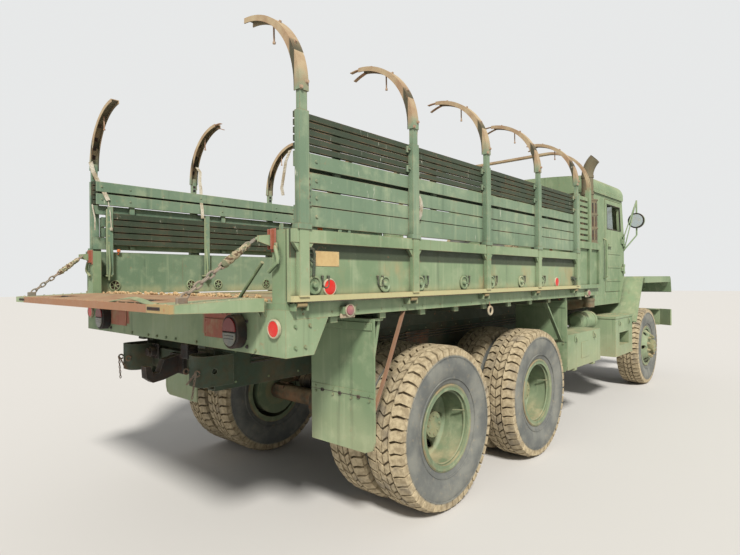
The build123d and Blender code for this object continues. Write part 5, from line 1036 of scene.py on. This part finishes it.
class TRUCK_OT_rear_lamps(bpy.types.Operator):
    """Fits lenses and rims to the rear lamps, reflectors and markers, and the red sill plates"""
    bl_idname = "truck.rear_lamps"
    bl_label = "Rear lamps"

    def execute(self, context):
        def half_oval(x, radius, way):
            """The upper (1) or lower (-1) half of a lamp's long oval."""
            return arc((x, 840, 1252 + way * 16), radius, 90 - way * 90, 270 - way * 90, 13)

        with making("lamp_rims", "chassis", "lamp_lens", "black") as s:
            for s.side in BOTH:
                s.plate(half_oval(-1345, 70, 1) + half_oval(-1345, 70, -1), (-57, 0, 0), 4)
                s.bolts((-1345,), (770, 910), (1178, 1305), REAR, 14, 7)
        for name, way, material in (("tail_lens_red", 1, "dark_red"), ("tail_lens_dark", -1, "smoke")):
            with making(name, "chassis", "lamp_lens", material) as s:
                for s.side in BOTH:
                    ends = [Vector((-1401, 840 - dy, 1252 + way * 3)) for dy in (way * 56, -way * 56)]
                    s.plate(half_oval(-1401, 56, way) + ends, (-8, 0, 0), 2.5)
                    for z in (1216, 1232) if way < 0 else ():
                        s.block((-1413, -1408), (800, 880), (z - 2, z + 2), 1)
        at = (-1357, 1138, 1280)
        with making("reflector_rims", "chassis", "olive_paint", "pale") as s:
            for s.side in BOTH:
                s.revolve([(-10, 37), (-10, 46), (2, 46), (5, 43), (5, 39), (1, 37)], at, REAR, 32)
        with making("rear_reflectors", "chassis", "lamp_lens", "bright_red") as s:
            for s.side in BOTH:
                s.revolve([(-2, 0), (-2, 38), (3, 37), (6, 0)], at, REAR, 32, closed=False)
        with making("sill_plates", "chassis", "olive_paint", "red_patch") as s:
            for s.side in BOTH:
                s.block((-1350, -1345), (762, 508), (1204, 1306), 2)
                s.studs((-1350,), (522, 748), (1218, 1292), REAR, 6, 3, top=4)
        markers = [(x, 1238, 1352) for x in (-950, 2500)]
        with making("marker_lenses", "chassis", "lamp_lens", "pink") as s:
            for s.side in BOTH:
                for at in markers:
                    s.revolve([(-4, 0), (-4, 26), (10, 24), (16, 12), (17, 0)], at, Y, 20, closed=False)
        with making("marker_rims", "chassis", "lamp_lens", "pale") as s:
            for s.side in BOTH:
                for x, y, z in markers:
                    s.revolve([(-2, 25), (-2, 33), (6, 33), (6, 27)], (x, y, z), Y, 20)
                    s.block((x - 52, x + 52), (1216, 1228), (1312, 1336), 3)
        return {"FINISHED"}


class TRUCK_OT_sill_fittings(bpy.types.Operator):
    """Adds bolts, safety chains, air couplings and the trailer socket at the rear"""
    bl_idname = "truck.sill_fittings"
    bl_label = "Rear sill fittings"

    def execute(self, context):
        with making("sill_bolts", "chassis", "olive_paint", "olive") as s:
            for s.side in BOTH:
                for x, z in ((-1290, 1190), (-1230, 1190), (-1290, 1290), (-1200, 1290)):
                    s.bolt((x, 1214, z), Y, 13, 7)
                s.bolts((-1345,), (60, 180, 420, 980), (1165,), REAR, 13, 7)
                s.studs(range(-1240, 2800, 190), (1214,), (1347,), Y, 6.5, 4, top=4)
                s.studs(range(-1100, 6000, 240), (430,), (905, 1085), Y, 8, 5, top=5)
        with making("safety_chains", "chassis", "worn_steel", "iron", gap=FINE_WELD) as s:
            for s.side in BOTH:
                for end in ((-1404, 470, 862), (-1396, 400, 930)):
                    s.chain((-1400, 505, 1005), end, 17, 2.4, 10)
                for y in (500, 380):
                    s.pipe(arc((-1388, y, 1000), 15, 0, 330, 12, X), 5)
        with making("trailer_couplings", "chassis", "cast_iron", "black") as s:
            for s.side in BOTH:
                # Air coupling with its dust cap on a bracket of the rail end.
                s.disc((-1240, 300, 1040), REAR, 34, 46, 16, edge=3)
                s.disc((-1286, 300, 1040), REAR, 26, 18, 16, edge=3)
                s.block((-1246, -1238), (255, 345), (990, 1090), 2)
            # Trailer socket, on the right as the loop ends there.
            s.disc((-1226, 180, 1085), REAR, 42, 60, 20, edge=3)
            s.block((-1296, -1284), (138, 222), (1040, 1130), 4)
        return {"FINISHED"}


class TRUCK_OT_flap_fittings(bpy.types.Operator):
    """Adds the seams, clamp strips, bolts and stays of the mud flaps, and the hanging ring"""
    bl_idname = "truck.flap_fittings"
    bl_label = "Mud flap fittings"

    def execute(self, context):
        flaps, top = ((-730, 850), (2005, 900)), 1270
        with making("flap_strips", "chassis", "olive_paint", "flap") as s:
            for s.side in BOTH:
                for x, seam in flaps:
                    s.bolts((x,), (730, 880, 1030, 1170), (seam + 16, seam - 16), REAR, 13, 6)
                    s.bolts((x,), (760, 960, 1150), (top - 20,), REAR, 14, 7)
                    s.block((x - 3, x), (692, 1203), (seam + 2, seam + 34), 1)
                    for low, high in ((x - 6, x), (x + 12, x + 18)):
                        s.block((low, high), (700, 1195), (top - 45, top), 2)
        with making("flap_seams", "chassis", "flap_rubber", "shade_and_seams") as s:
            for s.side in BOTH:
                for x, seam in flaps:
                    s.block((x - 1.2, x), (692, 1203), (seam - 1.5, seam + 1.5))
                    for y in (790, 940, 1090):
                        s.block((x - 9, x), (y - 11, y + 11), (seam - 10, seam + 8), 2)
        with making("flap_stays", "chassis", "worn_steel", "brown_stay") as s:
            for s.side in BOTH:
                # Long stays from the edge of the floor to the foot of the first flap.
                s.strap([(-452, 1196, 1330), (-640, 1194, 930), (-714, 1190, 782)], Y, 24, 8)
                s.bolt((-706, 1190, 786), X, 12, 6)
            # Hanger of the ring, on the right as the loop ends there.
            s.pipe([(517, 1222, 1340), (517, 1226, 1305)], 3.5, 6)
        with making("hanging_ring", "chassis", "worn_steel", "pale", side=-1, gap=FINE_WELD) as s:
            s.pipe(arc((517, 1228, 1276), 29, 0, 330, 12, X), 8, closed=True)
        return {"FINISHED"}


class TRUCK_OT_cab_fittings(bpy.types.Operator):
    """Adds seals, drip rails, wipers, handles, ribs, rivets and mirror glass to the cab"""
    bl_idname = "truck.cab_fittings"
    bl_label = "Cab fittings"

    def execute(self, context):
        mirror_y, mirror_z = 1138, 2260
        with making("mirror_glass", "chassis", "window_glass", "mirror") as s:
            for s.side in BOTH:
                s.disc((4571, mirror_y, mirror_z), REAR, 88, 3, 32)
        with making("cab_trim", "chassis", "olive_paint", "cab") as s:
            for s.side in BOTH:
                # Drip rail above the door, rivets along the roof seam and the sill, and a handle.
                s.strap([(3372, 1012, 2514), (4430, 1012, 2514)], Z, 12, 10)
                s.studs(range(3400, 4440, 80), (1008,), (2560,), Y, 6, 4, top=4)
                s.pipe([(3700, 1002, 1500), (3700, 1040, 1520), (3700, 1040, 1960), (3700, 1002, 1980)], 11, 10)
                s.studs(range(3420, 4300, 110), (1000,), (1240, 1300), Y, 6, 4, top=4)
            s.studs((3356,), range(-800, 801, 200), (2540,), REAR, 6, 4, top=4)
            s.studs((3370,), range(-900, 901, 200), (1300, 1500, 1700, 1900), REAR, 5.5, 4, top=4)
            for y in (-760, -380, 0, 380, 760):
                s.block((3352, 3370), (y - 22, y + 22), (1220, 2060), 5)
        with making("cab_seals", "chassis", "tyre_rubber", "black") as s:
            for s.side in BOTH:
                # Windscreen seals and wipers, and the rims of the mirrors.
                s.pipe([(4510, 50, 2142), (4510, 875, 2142), (4455, 875, 2463), (4455, 50, 2463)], 9,
                       closed=True)
                s.pipe([(4478, 450, 2500), (4500, 450, 2470), (4478, 600, 2300), (4492, 680, 2210)], 6, 6)
                s.strap([(4470, 560, 2360), (4506, 780, 2180)], (1, 0, 0.1), 10, 5)
                s.revolve([(-6, 84), (-6, 101), (4, 101), (4, 84)], (4574, mirror_y, mirror_z), X, 32)
            s.pipe([(3368, -404, 2116), (3368, 404, 2116), (3368, 404, 2434), (3368, -404, 2434)], 8,
                   closed=True)
        for name, side in SIDES:
            body = f"door_{name}"
            with making(f"door_trim_{name}", body, "olive_paint", "cab", side) as s:
                # Pressed ribs of the door skin and its latch plate.
                for z in (1470, 1640, 1810):
                    s.block((3800, 4350), (1003, 1008), (z - 12, z + 12), 3)
                for x, z in ((3790, 1400), (3790, 2050), (4400, 2050), (4400, 1560)):
                    s.disc((x, 1003, z), Y, 6, 4, 8, top=4)
                s.block((3812, 3960), (1003, 1009), (1870, 1936), 3)
                s.studs((4390, 4412), (1016,), (1620, 1980), Y, 6, 5, top=4)
            with making(f"door_seal_{name}", body, "tyre_rubber", "black", side) as s:
                s.pipe([(3830, 999, 2110), (4375, 999, 2110), (4335, 999, 2415), (3830, 999, 2415)], 8,
                       closed=True)
        return {"FINISHED"}


class TRUCK_OT_hood_fittings(bpy.types.Operator):
    """Adds louvres, handles, top strips and the frame of the grille to the hood"""
    bl_idname = "truck.hood_fittings"
    bl_label = "Hood fittings"

    def execute(self, context):
        with making("hood_trim", "hood", "olive_paint", "cab") as s:
            for s.side in BOTH:
                for x in range(4760, 5133, 62):
                    y = 620 - (x - 4532) * 100 / 1568
                    s.strap([(x + 30, y, 1562), (x + 30, y, 1758)], (1, s.side * 0.45, 0), 30, 3)
                s.block((4560, 4580), (616, 628), (1500, 1600), 3)
                s.pipe([(4640, 614, 1420), (4640, 640, 1420), (4760, 632, 1420), (4760, 606, 1420)], 8)
                s.strap([(4540, 330, 1979), (6090, 300, 1852)], Y, 26, 7)
                s.block((6098, 6112), (433, 457), (1285, 1775), 4)
                s.studs((6112,), (445.05,), range(1320, 1760, 80), X, 6, 4, top=4)
            for z in (1288, 1772):
                s.block((6098, 6112), (-455, 455), (z - 12, z + 12), 4)
        return {"FINISHED"}


class TRUCK_OT_front_lamps(bpy.types.Operator):
    """Fits headlamp glasses, rims, turn lamps, bumper bolts and tow shackles"""
    bl_idname = "truck.front_lamps"
    bl_label = "Front lamps and shackles"

    def execute(self, context):
        at = (6240, 800, 1390)
        with making("headlamp_glass", "chassis", "lamp_lens", "clear") as s:
            for s.side in BOTH:
                s.revolve([(-8, 0), (-8, 74), (0, 74), (5, 55), (8, 0)], at, X, 32, closed=False)
        with making("headlamp_rims", "chassis", "olive_paint", "olive") as s:
            for s.side in BOTH:
                s.revolve([(-14, 74), (-14, 91), (-3, 90), (3, 82), (2, 74)], at, X, 32)
                for turn in range(3):
                    angle = math.tau * turn / 3
                    y = 800 + s.side * 84 * math.cos(angle)
                    s.bolt((6238, y, 1390 + 84 * math.sin(angle)), X, 9, 5)
                s.disc((6090, 1120, 1420), X, 48, 38, 24, edge=3)
                s.bolts((6300,), (250, 330, 450, 560, 760), (800, 970), X, 15, 7)
        with making("turn_lenses", "chassis", "lamp_lens", "amber") as s:
            for s.side in BOTH:
                s.revolve([(0, 0), (0, 40), (22, 38), (30, 20), (32, 0)], (6128, 1120, 1420), X, 24,
                          closed=False)
        with making("tow_shackles", "chassis", "worn_steel", "iron") as s:
            for s.side in BOTH:
                s.pipe([(6345, 350, 860), (6345, 350, 800), (6345, 372, 774), (6345, 408, 774),
                        (6345, 430, 800), (6345, 430, 860)], 11)
                s.pipe([(6325, 345, 885), (6325, 435, 885)], 20, 14)
        return {"FINISHED"}


class TRUCK_OT_tank_fittings(bpy.types.Operator):
    """Adds straps, fillers, step studs, box latches, air lines and brake chambers"""
    bl_idname = "truck.tank_fittings"
    bl_label = "Tank and box fittings"

    def execute(self, context):
        with making("tank_straps", "chassis", "olive_paint", "olive") as s:
            for x in (3230, 3570):
                path = []
                for y, z, start in ((1040, 800, 90), (1040, 630, 0), (790, 630, -90), (790, 800, -180)):
                    path += arc((x, y, z), 153, start, start - 90, 6)
                s.strap(path + path[:1], X, 46, 5)
                s.bolt((x, 1193, 715), Y, 15, 8)
            s.disc((3400, 980, 948), Z, 52, 30, 24, edge=4)
            s.disc((3400, 980, 976), Z, 60, 16, 12, edge=3)
            s.studs(range(3752, 4169, 52), range(990, 1167, 44), (590, 930), Z, 11, 4, top=7)
            # Air tank and step box on the right, with studs on the lid and latches on the front.
            s.side = -1
            for x in (3130, 3410):
                s.revolve([(-20, 104), (-20, 110), (20, 110), (20, 104)], (x, 900, 1010), X, 28)
                s.bolt((x, 900, 1118), Z, 14, 9)
            s.disc((3270, 900, 902), (0, 0, -1), 12, 22, 10)
            s.studs(range(3600, 4161, 56), range(840, 1111, 54), (1048,), Z, 11, 4, top=7)
            s.studs((3570, 3640, 4120, 4195), (1175,), (600, 990), Y, 7, 4, top=4)
            for x in (3700, 4065):
                s.block((x - 22, x + 22), (1175, 1184), (940, 1000), 3)
                s.pipe([(x, 1186, 985), (x, 1196, 962), (x, 1194, 936)], 6)
        with making("toolbox_latches", "toolbox_door", "worn_steel", "olive", side=-1) as s:
            for x in (2270, 2785):
                s.block((x - 24, x + 24), (1187, 1196), (880, 940), 3)
                s.pipe([(x, 1198, 925), (x, 1208, 905), (x, 1206, 872)], 6)
            s.block((2420, 2640), (1187, 1192), (700, 860), 3)
        with making("air_lines", "chassis", "cast_iron", "hose") as s:
            for s.side in BOTH:
                for z, y in ((1010, 440), (1035, 448), (1060, 443)):
                    s.pipe([(-1000, y + 2, z), (300, y, z - 6), (1500, y + 2, z), (3000, y + 1, z + 4),
                            (4600, y, z)], 6, 6)
                for station, lean in ((0, 1), (1372, -1)):
                    # Brake chamber on its bracket, with the push rod to the slack adjuster.
                    x = station + lean * 150
                    s.revolve([(-60, 0), (-60, 62), (-8, 80), (-8, 88), (8, 88), (8, 80), (66, 70), (84, 40),
                               (84, 0)], (x, 330, 620), Y, 24, closed=False)
                    s.pipe([(x, 410, 620), (x - lean * 20, 530, 612)], 12)
                    s.pipe([(x, 300, 690), (x + lean * 40, 290, 780), (x + lean * 30, 330, 880),
                            (x, 400, 960)], 9)
        return {"FINISHED"}


class TRUCK_OT_exhaust_fittings(bpy.types.Operator):
    """Adds the slots and clamps of the exhaust stack"""
    bl_idname = "truck.exhaust_fittings"
    bl_label = "Exhaust fittings"

    def execute(self, context):
        x, y, shield, slot = 3090, -1030, 98.4, 110
        # Painted shade: the slots of the heat shield are thin dark strips.
        with making("shield_slots", "chassis", "rusty_steel", "shade_and_seams") as s:
            for index in range(14):
                angle = math.tau * index / 14
                out = Vector((math.cos(angle), math.sin(angle), 0))
                for low in (1925, 2075, 2225):
                    foot = Vector((x, y, low)) + out * shield
                    s.strap([foot, foot + Vector((0, 0, slot))], Vector(Z).cross(out), 17, 1.4)
        with making("exhaust_clamps", "chassis", "rusty_steel", "exhaust") as s:
            for z in (1890, 2055, 2205, 2370):
                s.revolve([(-9, 97), (-9, 102), (9, 102), (9, 97)], (x, y, z), Z, 32)
                s.bolt((x, y - 102, z), INWARD, 14, 8)
            for z in (1260, 1500, 1800, 2450, 2640):
                s.revolve([(-13, 61), (-13, 68), (13, 68), (13, 61)], (x, y, z), Z, 28)
                s.bolt((x + 70, y, z), X, 12, 8)
        return {"FINISHED"}


class TRUCK_OT_bed_interior(bpy.types.Operator):
    """Adds floor bolts, lashing recesses, seat legs, knobs and gravel inside the bed"""
    bl_idname = "truck.bed_interior"
    bl_label = "Bed interior"

    def execute(self, context):
        with making("floor_bolts", "chassis", "olive_paint", "floor") as s:
            s.studs([-1015 + index * 380.5 for index in range(11)], range(-1050, 1051, 175), (FLOOR_Z,), Z,
                    9, 4, top=6)
            for x in (-300, 800, 1900):
                s.block((x - 16, x + 16), (-1100, 1100), (FLOOR_Z, FLOOR_Z + 4), 1)
        recesses = (-1143, -483, -210, 340, 640, 1190, 1480)
        for name, side in SIDES:
            body = f"dropside_{name}"
            with making(f"inner_fittings_{name}", body, "olive_paint", "olive", side) as s:
                for x in recesses:
                    s.revolve([(0, 34), (0, 45), (7, 45), (9, 41), (9, 36), (2, 34)], (x, 1220, 1476),
                              INWARD, 24)
                    s.disc((x, 1220, 1476), INWARD, 9, 8, 12)
                    for turn in range(3):
                        angle = math.pi * turn / 3 + 0.3
                        arm = Vector((36 * math.cos(angle), 0, 36 * math.sin(angle)))
                        middle = Vector((x, 1215, 1476))
                        s.strap([middle - arm, middle + arm], Y, 4, 7)
                for x in RIB_STATIONS:
                    leg = x + 75
                    s.block((leg - 20, leg + 20), (1176, 1168), (1560, 2080), 3)
                    s.pipe([(leg, 1172, 1800), (leg, 1150, 1620), (leg, 1172, 1520)], 8)
                    s.block((leg - 26, leg + 26), (1218, 1166), (1545, 1560), 3)
                    s.studs((leg,), (1168,), range(1600, 2033, 54), INWARD, 7, 2.5)
            # Painted shade: each lashing recess is a flat dark disc.
            with making(f"inner_recesses_{name}", body, "flap_rubber", "shade_and_seams", side) as s:
                s.studs(recesses, (1220,), (1476,), INWARD, 36, 2.5, 20)
            with making(f"inner_knobs_{name}", body, "worn_steel", "orange", side) as s:
                for x in (-1118, 560, 1660):
                    s.pipe([(x, 1219, 1725), (x, 1204, 1732), (x, 1203, 1748)], 5)
                    s.disc((x, 1203, 1745), Z, 15, 24, 14, top=11, edge=3)
        # Loose gravel along the rear edge of the floor.
        dice = random.Random(23)
        with making("floor_gravel", "chassis", "rusty_steel", "gravel", smooth=10, gap=None) as s:
            for index in range(640):
                size = dice.uniform(7.0, 16.0)
                x = -1312 + min(260.0, abs(dice.gauss(0, 36)))
                y = dice.uniform(-960, 1000)
                heap = 13 * max(0.0, 1 - abs(x + 1302) / 34) * (index % 3)
                turn = Matrix.Rotation(dice.uniform(0, 3), 4, (0.4, 0.3, dice.uniform(0.2, 1)))
                stone = Matrix.Diagonal((size * dice.uniform(0.8, 1.5), size, size * dice.uniform(0.6, 0.9), 1))
                place = Matrix.Translation((x, y, FLOOR_Z + size * 0.4 + heap))
                bmesh.ops.create_icosphere(s.bm, subdivisions=1, radius=1, matrix=place @ turn @ stone)
        return {"FINISHED"}


def add_to_scene(name, data):
    """A new object of the scene that shows a data block."""
    thing = bpy.data.objects.new(name, data)
    bpy.context.scene.collection.objects.link(thing)
    return thing


class TRUCK_OT_stage(bpy.types.Operator):
    """Sets the studio floor, the soft light and the camera"""
    bl_idname = "truck.stage"
    bl_label = "Studio and camera"

    def execute(self, context):
        stage = context.scene.truck_stage
        floor = Shape()
        bmesh.ops.create_grid(floor.bm, x_segments=2, y_segments=2, size=60.0)
        ground = add_to_scene("studio_floor", floor.mesh("studio_floor"))
        ground.location.z = -0.001
        plain = Finish("studio_floor", 0.9)
        plain.shader.inputs["Base Color"].default_value = (*stage.floor_colour, 1.0)
        coat(ground, plain.material)

        world = bpy.data.worlds.new("studio")
        context.scene.world = world
        world.use_nodes = True
        tree = world.node_tree
        even = tree.nodes["Background"]
        even.inputs["Color"].default_value = (1.0, 0.99, 0.97, 1.0)
        even.inputs["Strength"].default_value = stage.sky_strength
        seen = tree.nodes.new("ShaderNodeBackground")
        seen.inputs["Color"].default_value = (0.80, 0.81, 0.81, 1.0)
        seen.inputs["Strength"].default_value = 1.0
        ray = tree.nodes.new("ShaderNodeLightPath")
        direct = tree.nodes.new("ShaderNodeMath")
        direct.operation = "MAXIMUM"
        blend = tree.nodes.new("ShaderNodeMixShader")
        for source, target in ((ray.outputs["Is Camera Ray"], direct.inputs[0]),
                               (ray.outputs["Is Transmission Ray"], direct.inputs[1]),
                               (direct.outputs[0], blend.inputs[0]), (even.outputs[0], blend.inputs[1]),
                               (seen.outputs[0], blend.inputs[2]),
                               (blend.outputs[0], tree.nodes["World Output"].inputs["Surface"])):
            tree.links.new(source, target)

        lamp = bpy.data.lights.new("key_light", "SUN")
        lamp.energy = stage.key_strength
        lamp.angle = math.radians(9)
        lamp.color = (1.0, 0.965, 0.9)
        key = add_to_scene("key_light", lamp)
        key.rotation_euler = Vector((0.55, 0.62, -0.78)).to_track_quat("-Z", "Y").to_euler()

        optics = bpy.data.cameras.new("camera")
        optics.lens = 25.0
        optics.sensor_width = 36.0
        optics.clip_start = 0.05
        optics.clip_end = 500.0
        camera = add_to_scene("camera", optics)
        pan, tilt, roll = (Matrix.Rotation(math.radians(angle), 4, axis)
                           for angle, axis in ((42.15 - 90, "Z"), (90.21, "X"), (-0.45, "Z")))
        camera.matrix_world = Matrix.Translation((-5.0865, -3.086, 1.509)) @ pan @ tilt @ roll
        context.scene.camera = camera
        context.scene.view_settings.view_transform = "Standard"
        return {"FINISHED"}


STEPS = (
    TRUCK_OT_finishes, TRUCK_OT_tyres, TRUCK_OT_spare_wheel, TRUCK_OT_wheel_nuts, TRUCK_OT_side_fittings,
    TRUCK_OT_rack_fittings, TRUCK_OT_gate_chains, TRUCK_OT_gate_fittings, TRUCK_OT_rear_lamps,
    TRUCK_OT_sill_fittings, TRUCK_OT_flap_fittings, TRUCK_OT_cab_fittings, TRUCK_OT_hood_fittings,
    TRUCK_OT_front_lamps, TRUCK_OT_tank_fittings, TRUCK_OT_exhaust_fittings, TRUCK_OT_bed_interior,
    TRUCK_OT_stage,
)
GROUPS = {"truck_sizes": TruckSizes, "truck_stage": TruckStage}


class TRUCK_PT_panel(bpy.types.Panel):
    """Sizes, colours and building steps of the truck"""
    bl_idname = "TRUCK_PT_panel"
    bl_label = "Cargo truck"
    bl_space_type = "VIEW_3D"
    bl_region_type = "UI"
    bl_category = "Cargo truck"

    def draw(self, context):
        for group in (context.scene.truck_sizes, context.scene.truck_stage):
            for name in group.__annotations__:
                self.layout.prop(group, name)
        for step in STEPS:
            self.layout.operator(step.bl_idname)


def register():
    for kind in (*GROUPS.values(), *STEPS, TRUCK_PT_panel):
        bpy.utils.register_class(kind)
    for name, group in GROUPS.items():
        setattr(bpy.types.Scene, name, PointerProperty(type=group))


def unregister():
    for name in GROUPS:
        delattr(bpy.types.Scene, name)
    for kind in (TRUCK_PT_panel, *reversed(STEPS), *GROUPS.values()):
        bpy.utils.unregister_class(kind)


def main():
    register()
    for step in STEPS:
        group, name = step.bl_idname.split(".")
        getattr(getattr(bpy.ops, group), name)()


if __name__ == "__main__":
    main()
